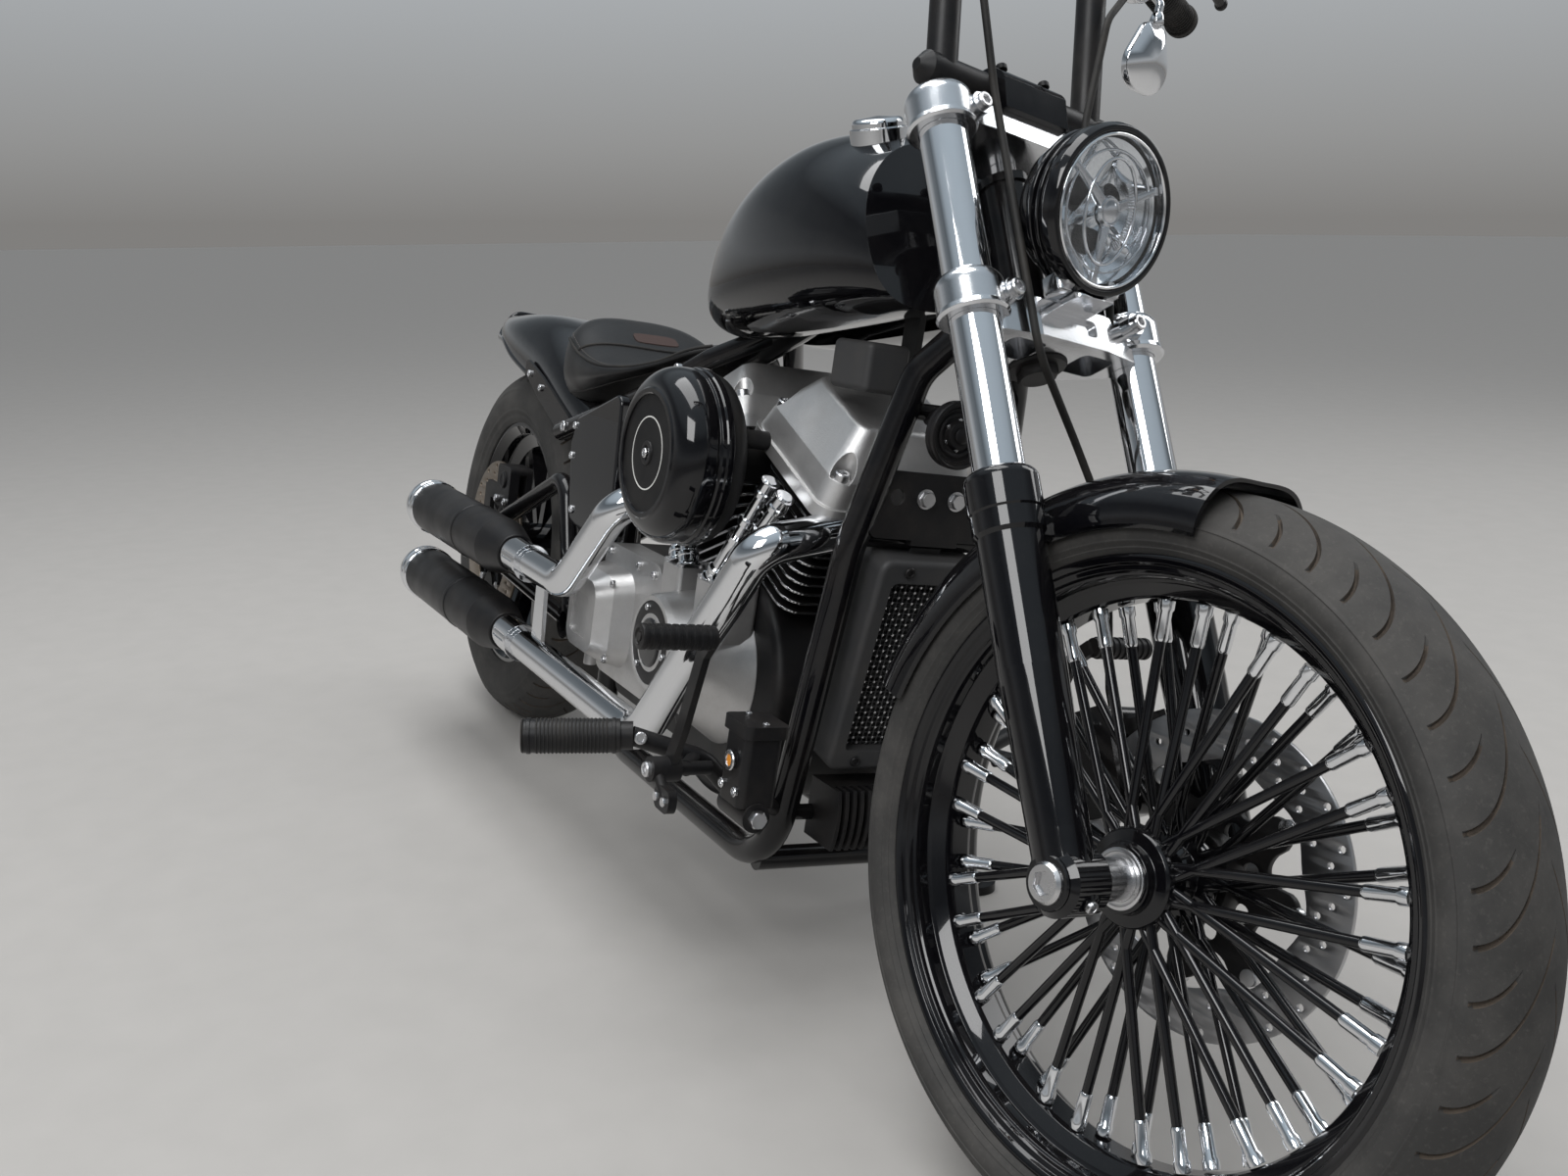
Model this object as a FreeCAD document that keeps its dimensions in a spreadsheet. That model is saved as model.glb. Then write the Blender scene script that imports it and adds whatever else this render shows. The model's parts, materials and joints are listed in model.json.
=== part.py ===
import FreeCAD, Part
import Sketcher
import math
import os
import re
from FreeCAD import Vector, Placement, Rotation

# A V-twin cruiser with a bobbed tail, leaning on its side stand with the bars a little to the left.
# The bike is drawn upright: origin on the floor under the rear axle, +X forward, +Y to its left, +Z up.
# Steered pieces are drawn in the fork's own frame: origin at the front axle, +Z up along the fork tubes.

doc = FreeCAD.newDocument("Cruiser")
sheet = doc.addObject("Spreadsheet::Sheet", "Sizes")

sizes = {
    # stance
    "wheelbase": 1630,
    "rakeAngle": 30,
    "forkOffset": 29.5,
    "leanAngle": 9.5,
    "steerAngle": 8,
    "seatGap": 0.3,
    "turnGap": 0.05,
    # front wheel
    "frontTyreRadius": 344.5,
    "frontCrown": 78,
    "frontTreadHalf": 60,
    "frontTyreHalf": 65,
    "frontRimRadius": 281,
    "frontRimHalf": 52,
    "flangeWidth": 7,
    "beadDepth": 12,
    "rimWall": 7,
    "frontWellDepth": 29,
    "frontHubRadius": 30,
    "frontHubHalf": 46,
    "hubFlangeRadius": 44,
    "hubFlangeHalf": 30,
    "spokePairs": 26,
    "spokeRadius": 5,
    "spokeSpread": 9,
    "axleRadius": 12.5,
    "frontDiscRadius": 150,
    "frontDiscSide": 71,
    "discThickness": 5,
    # rear wheel
    "rearTyreRadius": 323,
    "rearCrown": 90,
    "rearTreadHalf": 66,
    "rearTyreHalf": 75,
    "rearRimRadius": 220,
    "rearRimHalf": 62,
    "rearWellDepth": 34,
    "rearHubRadius": 38,
    "rearHubHalf": 70,
    "rearSpokes": 9,
    "rearSpokeWidth": 20,
    "rearDiscRadius": 146,
    "rearDiscSide": 92,
    "pulleyRadius": 112,
    "pulleySide": 84,
    "pulleyWidth": 28,
    "beltThickness": 5,
    "beltWidth": 22,
    "smallPulleyRadius": 40,
    # fork
    "forkHalf": 112,
    "forkTubeRadius": 24.5,
    "lowerLegTop": 365,
    "lowerLegRadius": 31,
    "legCollarRadius": 35,
    "lowerClampHeight": 542,
    "upperClampHeight": 744,
    "bellRadius": 34,
    "bellHeight": 44,
    "clampPlate": 26,
    "stemRadius": 15,
    "neckRadius": 27,
    "neckClearance": 19.5,
    "legSocket": 60,
    "bridgeDepth": 40,
    "bridgeDrop": 16,
    "axleHalf": 138,
    "fenderClearance": 9,
    "fenderSkin": 3.5,
    "fenderSweep": 78,
    "hoseRadius": 4,
    # headlamp
    "lampRadius": 82,
    "lampDepth": 88,
    "lampForward": 96,
    "lampDrop": 132,
    "lensRadius": 70,
    # handlebar
    "barRadius": 16,
    "gripBarRadius": 12.5,
    "barHalf": 105,
    "barClampForward": 4,
    "riserHeight": 46,
    "riserRadius": 29,
    "riserHalf": 45,
    "crossTubeRadius": 17,
    "barEndRise": 262,
    "barRise": 240,
    "barTilt": 17,
    "barEndSide": 385,
    "barEndForward": -22,
    "barBend": 50,
    "gripRadius": 17.5,
    "gripLength": 125,
    "mirrorHalf": 38,
    "mirrorDepth": 14,
    "indicatorRadius": 20,
    # engine
    "crankForward": 950,
    "crankHeight": 335,
    "vAngle": 22.5,
    "caseHalf": 95,
    "caseRadius": 150,
    "barrelStart": 140,
    "barrelTop": 296,
    "finCount": 11,
    "finPitch": 13,
    "finThickness": 4,
    "finHalf": 76,
    "barrelRadius": 58,
    "rockerTop": 396,
    "rockerHalfLong": 106,
    "rockerHalfWide": 112,
    "camSide": 190,
    "camFaceRadius": 58,
    "tappetTop": 466,
    "pushrodRadius": 8,
    "transHalf": 80,
    "primarySide": 190,
    "primaryRadius": 106,
    "airAhead": 2,
    "airHeight": 606,
    "airSide": 235,
    "airRadius": 105,
    "airFaceRadius": 76,
    "airBossRadius": 11,
    # exhaust
    "pipeRadius": 23,
    "mufflerRadius": 45,
    "mufflerSide": 200,
    "upperMufflerHeight": 382,
    "lowerMufflerHeight": 261,
    "mufflerFront": 438,
    "mufflerLength": 490,
    "sleeveLength": 70,
    # frame
    "downTubeRadius": 18,
    "railRadius": 16,
    "backboneRadius": 26,
    "railSide": 104,
    "postSide": 62,
    "railHeight": 162,
    "frameBend": 90,
    "pivotForward": 525,
    "pivotHeight": 300,
    "armSide": 134,
    "armRadius": 14,
    "clampRoom": 78,
    # bodywork and controls
    "capRadius": 29,
    "fenderWall": 4,
    "lipRadius": 5,
    "hornRadius": 35,
    "pegRadius": 19,
    # stand
    "standPivotForward": 985,
    "standPivotSide": 150,
    "standPivotHeight": 170,
    "standReach": 165,
    "standLegRadius": 11,
    "standFootRadius": 26,
}
for row, (alias, number) in enumerate(sizes.items(), 1):
    sheet.set("A%d" % row, alias)
    sheet.set("B%d" % row, str(number))
    sheet.setAlias("B%d" % row, alias)
doc.recompute()


class Values:
    pass


s = Values()
for alias in sizes:
    setattr(s, alias, float(sheet.get(alias)))

up = Vector(0, 0, 1)
left = Vector(0, 1, 0)
forward = Vector(1, 0, 0)


def onSheet(formula):
    # a formula in the sheet's names, as the expression that binds to its cells
    return re.sub(r"[A-Za-z]\w*", lambda word: "Sizes." + word[0] if word[0] in sizes else word[0], str(formula))


def worth(formula):
    return float(sheet.evalExpression(onSheet(formula).replace("Sizes.", "")))


def bind(thing, **formulas):
    for name, formula in formulas.items():
        thing.setExpression(name, onSheet(formula))
    return thing


def planeOf(body, role):
    return next(item for item in body.Origin.OriginFeatures if item.Role == role)


def drawOutline(sketch, outline):
    # Each item is the line to a corner (x, y), or the arc to it (x, y, radius, "left" or "right" turn).
    corners = [Vector(worth(item[0]), worth(item[1]), 0) for item in outline]
    ends = []
    for index, item in enumerate(outline):
        first = corners[index - 1]
        second = corners[index]
        if len(item) == 2:
            ends.append((sketch.addGeometry(Part.LineSegment(first, second), False), 1, 2))
            continue
        radius = worth(item[2])
        chord = second - first
        toLeft = Vector(-chord.y, chord.x, 0).normalize()
        reach = math.sqrt(radius ** 2 - (chord.Length / 2) ** 2)
        turn = 1 if item[3] == "left" else -1
        centre = (first + second) * 0.5 + toLeft * (reach * turn)
        start, stop = (first, second) if turn == 1 else (second, first)
        angles = [math.atan2(end.y - centre.y, end.x - centre.x) for end in (start, stop)]
        arc = Part.ArcOfCircle(Part.Circle(centre, up, radius), angles[0], angles[1])
        ends.append((sketch.addGeometry(arc, False), 1 if turn == 1 else 2, 2 if turn == 1 else 1))
    for index, item in enumerate(outline):
        piece, first, second = ends[index]
        after, start, _ = ends[(index + 1) % len(ends)]
        sketch.addConstraint(Sketcher.Constraint("Coincident", piece, second, after, start))
        for kind, formula in (("DistanceX", item[0]), ("DistanceY", item[1])):
            made = sketch.addConstraint(Sketcher.Constraint(kind, -1, 1, piece, second, worth(formula)))
            sketch.setExpression("Constraints[%d]" % made, onSheet(formula))
        if len(item) == 4:
            made = sketch.addConstraint(Sketcher.Constraint("Radius", piece, worth(item[2])))
            sketch.setExpression("Constraints[%d]" % made, onSheet(item[2]))


def sketchOn(body, role, outline):
    sketch = body.newObject("Sketcher::SketchObject", body.Name + "Sketch")
    sketch.AttachmentSupport = [(planeOf(body, role), "")]
    sketch.MapMode = "FlatFace"
    drawOutline(sketch, outline)
    return sketch


def turned(name, outline, role="XY_Plane", place=Placement()):
    # outline is (radius, distance along the axis); the axis is Y on XY_Plane and Z on XZ_Plane
    body = doc.addObject("PartDesign::Body", name)
    sketch = sketchOn(body, role, outline)
    feature = body.newObject("PartDesign::Revolution", name + "Turn")
    feature.Profile = sketch
    feature.ReferenceAxis = (sketch, ["V_Axis"])
    feature.Angle = 360
    body.Placement = place
    return body


def padded(name, outline, length, role="XZ_Plane", place=Placement()):
    # an outline in x and z pads towards -Y, and one in x and y pads towards +Z
    body = doc.addObject("PartDesign::Body", name)
    sketch = sketchOn(body, role, outline)
    feature = body.newObject("PartDesign::Pad", name + "Pad")
    feature.Profile = sketch
    bind(feature, Length=length)
    body.Placement = place
    return body


def together(name, kind, parts):
    joined = doc.addObject(kind, name)
    if kind == "Part::Compound":
        joined.Links = parts
    else:
        joined.Shapes = parts
    return joined


def bothSides(name, right):
    mirror = doc.addObject("Part::Mirroring", name + "Mirror")
    mirror.Source = right
    mirror.Base = Vector(0, 0, 0)
    mirror.Normal = left
    return together(name, "Part::Compound", [right, mirror])


def shapeNode(name, shape):
    feature = doc.addObject("Part::Feature", name)
    feature.Shape = shape
    return feature


def shapeOf(body):
    doc.recompute()
    return body.Shape


def pathThrough(points, bend):
    # straight runs joined by tangent arcs; bend is the arc's radius, or one for each inner point
    bends = bend if isinstance(bend, (list, tuple)) else [bend] * (len(points) - 2)
    edges = []
    start = points[0]
    for index, radius in enumerate(bends, 1):
        corner = points[index]
        back = (points[index - 1] - corner).normalize()
        ahead = (points[index + 1] - corner).normalize()
        half = back.getAngle(ahead) / 2
        reach = radius / math.tan(half)
        centre = corner + (back + ahead).normalize() * (radius / math.sin(half))
        first = corner + back * reach
        last = corner + ahead * reach
        middle = centre + (corner - centre).normalize() * radius
        edges.append(Part.LineSegment(start, first).toShape())
        edges.append(Part.Arc(first, middle, last).toShape())
        start = last
    edges.append(Part.LineSegment(start, points[-1]).toShape())
    return Part.Wire(edges)


def tubeAlong(points, radius, bend=0):
    direction = points[1] - points[0]
    ring = Part.Wire(Part.Circle(points[0], direction, radius).toShape())
    if len(points) == 2:
        return Part.Face(ring).extrude(direction)
    return pathThrough(points, bend).makePipeShell([ring], True, False)


def mirrored(shape):
    return shape.mirror(Vector(0, 0, 0), left)


def fused(shapes):
    whole = shapes[0].multiFuse(shapes[1:])
    return whole.removeSplitter()


def cylinderAt(base, direction, radius, length):
    return Part.makeCylinder(radius, length, base, direction)


def boxBetween(low, high):
    size = high - low
    return Part.makeBox(size.x, size.y, size.z, low)


def loftThrough(sections, ruled=False):
    return Part.makeLoft(sections, True, ruled)


def closedCurve(points):
    curve = Part.BSplineCurve()
    curve.interpolate(points, PeriodicFlag=True)
    return Part.Wire(curve.toShape())


# Where each group of pieces stands

rakeTurn = Rotation(left, -s.rakeAngle)
forkPlace = Placement(Vector(s.wheelbase, 0, s.frontTyreRadius), rakeTurn)
steerPoint = Vector(-s.forkOffset, 0, 0)
steerTurn = Placement(Vector(0, 0, 0), Rotation(up, s.steerAngle), steerPoint)
steeredPlace = forkPlace * steerTurn
rearPlace = Placement(Vector(0, 0, s.rearTyreRadius), Rotation())
wheelTurn = Placement(Vector(0, 0, 0), Rotation(left, s.rakeAngle))
frontWheelPlace = steeredPlace * wheelTurn


def axleHeight(radius, crown, axle):
    # how high a round-shouldered tyre's axle stands above the floor when its axle is tilted
    return (radius - crown) * math.sqrt(1 - axle.z ** 2) + crown


def standingPlace():
    # leans the bike to its left, then pitches it until both tyres touch the floor
    lean = Rotation(forward, -s.leanAngle)
    low = -5.0
    high = 5.0
    for _ in range(60):
        pitch = (low + high) / 2
        turn = lean * Rotation(left, pitch)
        lift = []
        for place, radius, crown in ((rearPlace, s.rearTyreRadius, s.rearCrown),
                                     (frontWheelPlace, s.frontTyreRadius, s.frontCrown)):
            axle = turn.multVec(place.Rotation.multVec(left))
            lift.append(axleHeight(radius, crown, axle) - turn.multVec(place.Base).z)
        if lift[1] > lift[0]:
            high = pitch
        else:
            low = pitch
    return Placement(Vector(0, 0, lift[0]), turn)


standing = standingPlace()
places = {
    "chassis": standing,
    "rearWheel": standing * rearPlace,
    "steering": standing * steeredPlace,
    "frontWheel": standing * frontWheelPlace,
}
nodes = []


def node(label, group, thing, place=Placement()):
    thing.Label = label
    nodes.append((thing, group, place * thing.Placement))
    return thing


def shapeNamed(label):
    return next(thing.Shape for thing, _, _ in nodes if thing.Label == label)


# Wheels, turned about their axles

def tyreOutline(radius, crown, treadHalf, half, rimRadius, rimHalf):
    shoulder = "%s - %s + sqrt(%s * %s - %s * %s)" % (radius, crown, crown, crown, treadHalf, treadHalf)
    widest = "%s * 0.35 + %s * 0.65" % (radius, rimRadius)
    bead = "%s - beadDepth + seatGap" % rimRadius
    inner = "%s - flangeWidth - seatGap" % rimHalf
    over = "%s + 1.5" % rimRadius
    return [
        (bead, "0 - (%s)" % inner),
        (over, "0 - (%s)" % inner),
        (over, "0 - %s" % rimHalf),
        (widest, "0 - %s" % half, "60", "right"),
        (shoulder, "0 - %s" % treadHalf, "60", "left"),
        (shoulder, treadHalf, crown, "left"),
        (widest, half, "60", "left"),
        (over, rimHalf, "60", "right"),
        (over, inner),
        (bead, inner),
    ]


def rimOutline(rimRadius, rimHalf, wellDepth):
    seat = "%s - beadDepth" % rimRadius
    well = "%s - %s" % (rimRadius, wellDepth)
    seatEnd = "%s - flangeWidth" % rimHalf
    return [
        (rimRadius, "0 - %s" % rimHalf),
        (rimRadius, "0 - (%s)" % seatEnd),
        (seat, "0 - (%s)" % seatEnd),
        (seat, "0 - (%s) * 0.55" % seatEnd),
        (well, "0 - (%s) * 0.35" % seatEnd),
        (well, "(%s) * 0.35" % seatEnd),
        (seat, "(%s) * 0.55" % seatEnd),
        (seat, seatEnd),
        (rimRadius, seatEnd),
        (rimRadius, rimHalf),
        ("%s - rimWall" % rimRadius, rimHalf),
        ("%s - rimWall" % seat, "%s - rimWall" % seatEnd),
        ("%s - rimWall" % seat, "(%s) * 0.6" % seatEnd),
        ("%s - rimWall" % well, "(%s) * 0.4" % seatEnd),
        ("%s - rimWall" % well, "0 - (%s) * 0.4" % seatEnd),
        ("%s - rimWall" % seat, "0 - (%s) * 0.6" % seatEnd),
        ("%s - rimWall" % seat, "rimWall - (%s)" % seatEnd),
        ("%s - rimWall" % rimRadius, "0 - %s" % rimHalf),
    ]


node("front_tyre", "frontWheel", turned("FrontTyre", tyreOutline(
    "frontTyreRadius", "frontCrown", "frontTreadHalf", "frontTyreHalf", "frontRimRadius", "frontRimHalf")))
node("front_rim", "frontWheel", turned("FrontRim", rimOutline(
    "frontRimRadius", "frontRimHalf", "frontWellDepth")))
node("rear_tyre", "rearWheel", turned("RearTyre", tyreOutline(
    "rearTyreRadius", "rearCrown", "rearTreadHalf", "rearTyreHalf", "rearRimRadius", "rearRimHalf")))


def spokeShape(angle, side, lean):
    # from a hub flange to the rim's well, leaning forward or back around the wheel
    base = Vector(0, side * (s.hubFlangeHalf - 4), 0) + polar(s.hubFlangeRadius - 8, angle)
    inside = s.frontRimRadius - s.frontWellDepth - s.rimWall - s.seatGap
    tip = Vector(0, side * 8, 0) + polar(inside - 1, angle + lean)
    return tubeAlong([base, tip], s.spokeRadius)


def polar(radius, degrees):
    return Vector(math.cos(math.radians(degrees)), 0, math.sin(math.radians(degrees))) * radius


def hubWithSpokes():
    hub = cylinderAt(Vector(0, -s.frontHubHalf, 0), left, s.frontHubRadius, 2 * s.frontHubHalf)
    for side in (-1, 1):
        flange = cylinderAt(Vector(0, side * s.hubFlangeHalf - 5, 0), left, s.hubFlangeRadius, 10)
        hub = hub.fuse(flange)
    step = 360 / s.spokePairs
    spokes = []
    for pair in range(int(s.spokePairs)):
        side = 1 if pair % 2 else -1
        for lean in (-s.spokeSpread, s.spokeSpread):
            spokes.append(spokeShape(pair * step - lean, side, 2 * lean))
    bore = cylinderAt(Vector(0, -s.frontHubHalf, 0), left, s.axleRadius + s.turnGap, 2 * s.frontHubHalf)
    return hub.fuse(spokes).cut(bore)


def discRing(outer, inner, side, holes, holeRadius):
    ring = cylinderAt(Vector(0, side, 0), left, outer, s.discThickness)
    cuts = [cylinderAt(Vector(0, side, 0), left, inner, s.discThickness)]
    for index in range(holes):
        place = polar((outer + inner) / 2, index * 360 / holes) + Vector(0, side, 0)
        cuts.append(cylinderAt(place, left, holeRadius, s.discThickness))
    return ring.cut(cuts)


node("front_hub_spokes", "frontWheel", shapeNode("FrontHub", hubWithSpokes()))


def frontDisc():
    ring = discRing(s.frontDiscRadius, 62, s.frontDiscSide, 0, 4)
    carrier = cylinderAt(Vector(0, s.frontHubHalf, 0), left, s.hubFlangeRadius, s.frontDiscSide - s.frontHubHalf)
    plate = cylinderAt(Vector(0, s.frontDiscSide, 0), left, 62.5, s.discThickness)
    bore = cylinderAt(Vector(0, 0, 0), left, s.axleRadius + 6, 200)
    return fused([ring, carrier, plate]).cut(bore)


node("front_disc", "frontWheel", shapeNode("FrontDisc", frontDisc()))


def rearWheelCasting():
    rim = Part.Face(Part.makePolygon([Vector(worth(x), worth(y), 0) for x, y in closedList(rimOutline(
        "rearRimRadius", "rearRimHalf", "rearWellDepth"))]))
    rim = rim.revolve(Vector(0, 0, 0), left, 360)
    hub = cylinderAt(Vector(0, -s.rearHubHalf, 0), left, s.rearHubRadius, 2 * s.rearHubHalf)
    reach = s.rearRimRadius - s.rearWellDepth - s.rimWall / 2
    spokes = []
    for index in range(int(s.rearSpokes)):
        arm = boxBetween(Vector(s.rearHubRadius - 8, -14, -s.rearSpokeWidth / 2), Vector(reach, 14, s.rearSpokeWidth / 2))
        arm.rotate(Vector(0, 0, 0), left, index * 360 / s.rearSpokes)
        spokes.append(arm)
    bore = cylinderAt(Vector(0, -s.rearHubHalf, 0), left, s.axleRadius + s.turnGap, 2 * s.rearHubHalf)
    return rim.fuse([hub] + spokes).cut(bore)


def closedList(points):
    return [point[:2] for point in points] + [points[0][:2]]


node("rear_wheel_casting", "rearWheel", shapeNode("RearCasting", rearWheelCasting()))


def rearDisc():
    side = -s.rearDiscSide - s.discThickness
    ring = discRing(s.rearDiscRadius, s.rearHubRadius, side, 18, 8)
    boss = cylinderAt(Vector(0, -s.rearDiscSide, 0), left, s.rearHubRadius + 18, s.rearDiscSide - s.rearHubHalf)
    bore = cylinderAt(Vector(0, side, 0), left, s.axleRadius + 6, 60)
    return ring.fuse(boss).cut(bore)


node("rear_disc", "rearWheel", shapeNode("RearDisc", rearDisc()))


def rearPulley():
    start = Vector(0, s.pulleySide, 0)
    ring = cylinderAt(start, left, s.pulleyRadius, s.pulleyWidth)
    ring = ring.cut(cylinderAt(start, left, s.pulleyRadius - 16, s.pulleyWidth))
    boss = cylinderAt(Vector(0, s.rearHubHalf, 0), left, s.rearHubRadius + 14, s.pulleySide - s.rearHubHalf + 12)
    arms = []
    for index in range(5):
        arm = boxBetween(Vector(20, s.pulleySide, -13), Vector(s.pulleyRadius - 8, s.pulleySide + 12, 13))
        arm.rotate(Vector(0, 0, 0), left, index * 72)
        arms.append(arm)
    bore = cylinderAt(Vector(0, 0, 0), left, s.axleRadius + 6, 200)
    return ring.fuse([boss] + arms).cut(bore)


node("rear_pulley", "rearWheel", shapeNode("RearPulley", rearPulley()))

# Fork, headlamp and bars, drawn in the fork's own frame

lowerTop = s.lowerClampHeight + s.bridgeDepth / 2 - s.bridgeDrop
upperLow = s.upperClampHeight - s.clampPlate / 2
neckLow = lowerTop + s.neckClearance
neckHigh = upperLow - s.neckClearance
barHeight = s.upperClampHeight + s.riserHeight
lampHeight = s.upperClampHeight - s.lampDrop

forkTube = doc.addObject("Part::Cylinder", "ForkTubeRight")
bind(forkTube, Radius="forkTubeRadius",
     Height="upperClampHeight + bellHeight / 2 - 4 - lowerLegTop + legSocket")
forkTube.Placement.Base = Vector(0, -s.forkHalf, s.lowerLegTop - s.legSocket)
node("fork_tubes", "steering", bothSides("ForkTubes", forkTube))


def forkLeg():
    # a leg that widens upward to a stepped, hooded collar, with the tube's socket down its middle
    return turned("ForkLeg", [
        ("0", "0 - 26"),
        ("lowerLegRadius - 12", "0 - 26"),
        ("lowerLegRadius - 5", "0 - 18"),
        ("lowerLegRadius - 4", "lowerLegTop * 0.12"),
        ("lowerLegRadius", "lowerLegTop * 0.5"),
        ("lowerLegRadius", "lowerLegTop - 62"),
        ("legCollarRadius - 1.5", "lowerLegTop - 58"),
        ("legCollarRadius - 1.5", "lowerLegTop - 40"),
        ("legCollarRadius", "lowerLegTop - 38"),
        ("legCollarRadius", "lowerLegTop - 9"),
        ("legCollarRadius - 6", "lowerLegTop", "11", "left"),
        ("forkTubeRadius + seatGap", "lowerLegTop"),
        ("forkTubeRadius + seatGap", "lowerLegTop - legSocket - seatGap"),
        ("0", "lowerLegTop - legSocket - seatGap"),
    ], role="XZ_Plane", place=Placement(Vector(0, -s.forkHalf, 0), Rotation()))


def forkBoss():
    # the axle's clamp at the foot of a leg, stepped and bevelled on its outer face
    outer = "0 - axleHalf + 4"
    return turned("ForkBoss", [
        ("axleRadius + seatGap", outer),
        ("axleRadius + 11", outer),
        ("axleRadius + 17", "0 - axleHalf + 9"),
        ("axleRadius + 17", "2 * (0 - forkHalf) + axleHalf - 4"),
        ("axleRadius + seatGap", "2 * (0 - forkHalf) + axleHalf - 4"),
    ])


def bladeCurve(radius, half):
    # one side of the fender's arched section, from its left edge over the crown to its right edge
    curve = Part.BSplineCurve()
    curve.interpolate([Vector(radius - drop, side * half * wide, 0) for side, wide, drop in (
        (1, 1, 52), (1, 0.95, 26), (1, 0.72, 7), (1, 0, 0), (-1, 0.72, 7), (-1, 0.95, 26), (-1, 1, 52))])
    return curve.toShape()


def frontFender():
    # a narrow curved blade turned about the axle, over the tyre's top and rear
    radius = s.frontTyreRadius + s.fenderClearance + 3
    half = s.frontTyreHalf + s.fenderClearance
    outer = bladeCurve(radius, half)
    inner = bladeCurve(radius - s.fenderSkin, half - s.fenderSkin)
    ends = [Part.LineSegment(outer.Vertexes[i].Point, inner.Vertexes[i].Point).toShape() for i in (0, 1)]
    section = Part.Face(Part.Wire(Part.__sortEdges__([outer, ends[1], inner, ends[0]])))
    blade = section.revolve(Vector(0, 0, 0), left, s.fenderSweep)
    blade.rotate(Vector(0, 0, 0), left, s.rakeAngle - 88 - s.fenderSweep)
    return blade


fenderBlade = frontFender()
node("front_fender", "steering", shapeNode("FrontFender", fenderBlade))


def forkLower():
    leg = shapeOf(forkLeg())
    boss = shapeOf(forkBoss())
    fenderSide = s.frontTyreHalf + s.fenderClearance - 1
    lugHigh = s.frontTyreRadius - 14
    lug = boxBetween(Vector(-24, -s.forkHalf, lugHigh - 32), Vector(16, -fenderSide, lugHigh))
    lug = lug.makeFillet(7, [edge for edge in lug.Edges if edge.BoundBox.YLength > 20])
    socket = cylinderAt(Vector(0, -s.forkHalf, s.lowerLegTop - s.legSocket - s.seatGap), up,
                        s.forkTubeRadius + s.seatGap, s.legSocket + 10)
    bore = cylinderAt(Vector(0, -2 * s.forkHalf, 0), left, s.axleRadius + s.seatGap, 2 * s.forkHalf)
    return fused([leg, boss, lug]).cut([socket, bore, fenderBlade])


rightLower = forkLower()
right = shapeNode("ForkLowerRight", rightLower)
node("fork_lowers", "steering", bothSides("ForkLowers", right))


def frontAxle():
    rod = cylinderAt(Vector(0, -s.axleHalf, 0), left, s.axleRadius, 2 * s.axleHalf)
    inner = 2 * s.forkHalf - s.axleHalf + 4 - s.seatGap
    spacer = cylinderAt(Vector(0, -inner, 0), left, 19, inner - s.frontHubHalf - 0.5)
    return fused([rod, spacer.cut(rightLower)])


node("front_axle", "steering", shapeNode("FrontAxle", frontAxle()))


def clampBell(name, height):
    # the split ring round a fork tube: a rolled foot, a straight waist and a domed shoulder
    return shapeOf(turned(name, [
        ("forkTubeRadius + seatGap", "0 - bellHeight / 2"),
        ("bellRadius - 1", "0 - bellHeight / 2"),
        ("bellRadius + 1.5", "0 - bellHeight / 2 + 3"),
        ("bellRadius", "0 - bellHeight / 2 + 8"),
        ("bellRadius", "bellHeight / 2 - 14"),
        ("bellRadius - 8", "bellHeight / 2", "16", "left"),
        ("forkTubeRadius + seatGap", "bellHeight / 2"),
    ], role="XZ_Plane", place=Placement(Vector(0, -s.forkHalf, height), Rotation())))


def clampShape(name, height, depth, front, drop="0"):
    # bells at both ends of a waisted cast bridge, and a lug for each bell's pinch bolt
    bell = clampBell(name + "Bell", height)
    lug = cylinderAt(Vector(-4, -s.forkHalf + 25, height), forward, 11.5, 38)
    bridge = padded(name + "Bridge", [
        ("0 - forkOffset - 24", "0 - 32"),
        ("0 - 17", "0 - forkHalf + 16"),
        ("19", "0 - forkHalf + 16"),
        (front, "0 - 48"),
        (front, "48"),
        ("19", "forkHalf - 16"),
        ("0 - 17", "forkHalf - 16"),
        ("0 - forkOffset - 24", "32"),
    ], depth, role="XY_Plane")
    bridge = shapeOf(bridge).copy()
    bridge.translate(up * (height - worth(depth) / 2 - worth(drop)))
    bridge = bridge.makeFillet(6, [edge for edge in bridge.Edges if edge.BoundBox.ZLength > 20])
    bores = [cylinderAt(Vector(0, side * s.forkHalf, height - 60), up, s.forkTubeRadius + s.seatGap, 120)
             for side in (-1, 1)]
    return fused([bridge, bell, lug, mirrored(bell), mirrored(lug)]).cut(bores)


lampPlace = Placement(Vector(s.lampForward, 0, lampHeight), Rotation(left, s.rakeAngle)) \
    * Placement(Vector(0, 0, 0), Rotation(up, -90))


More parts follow.
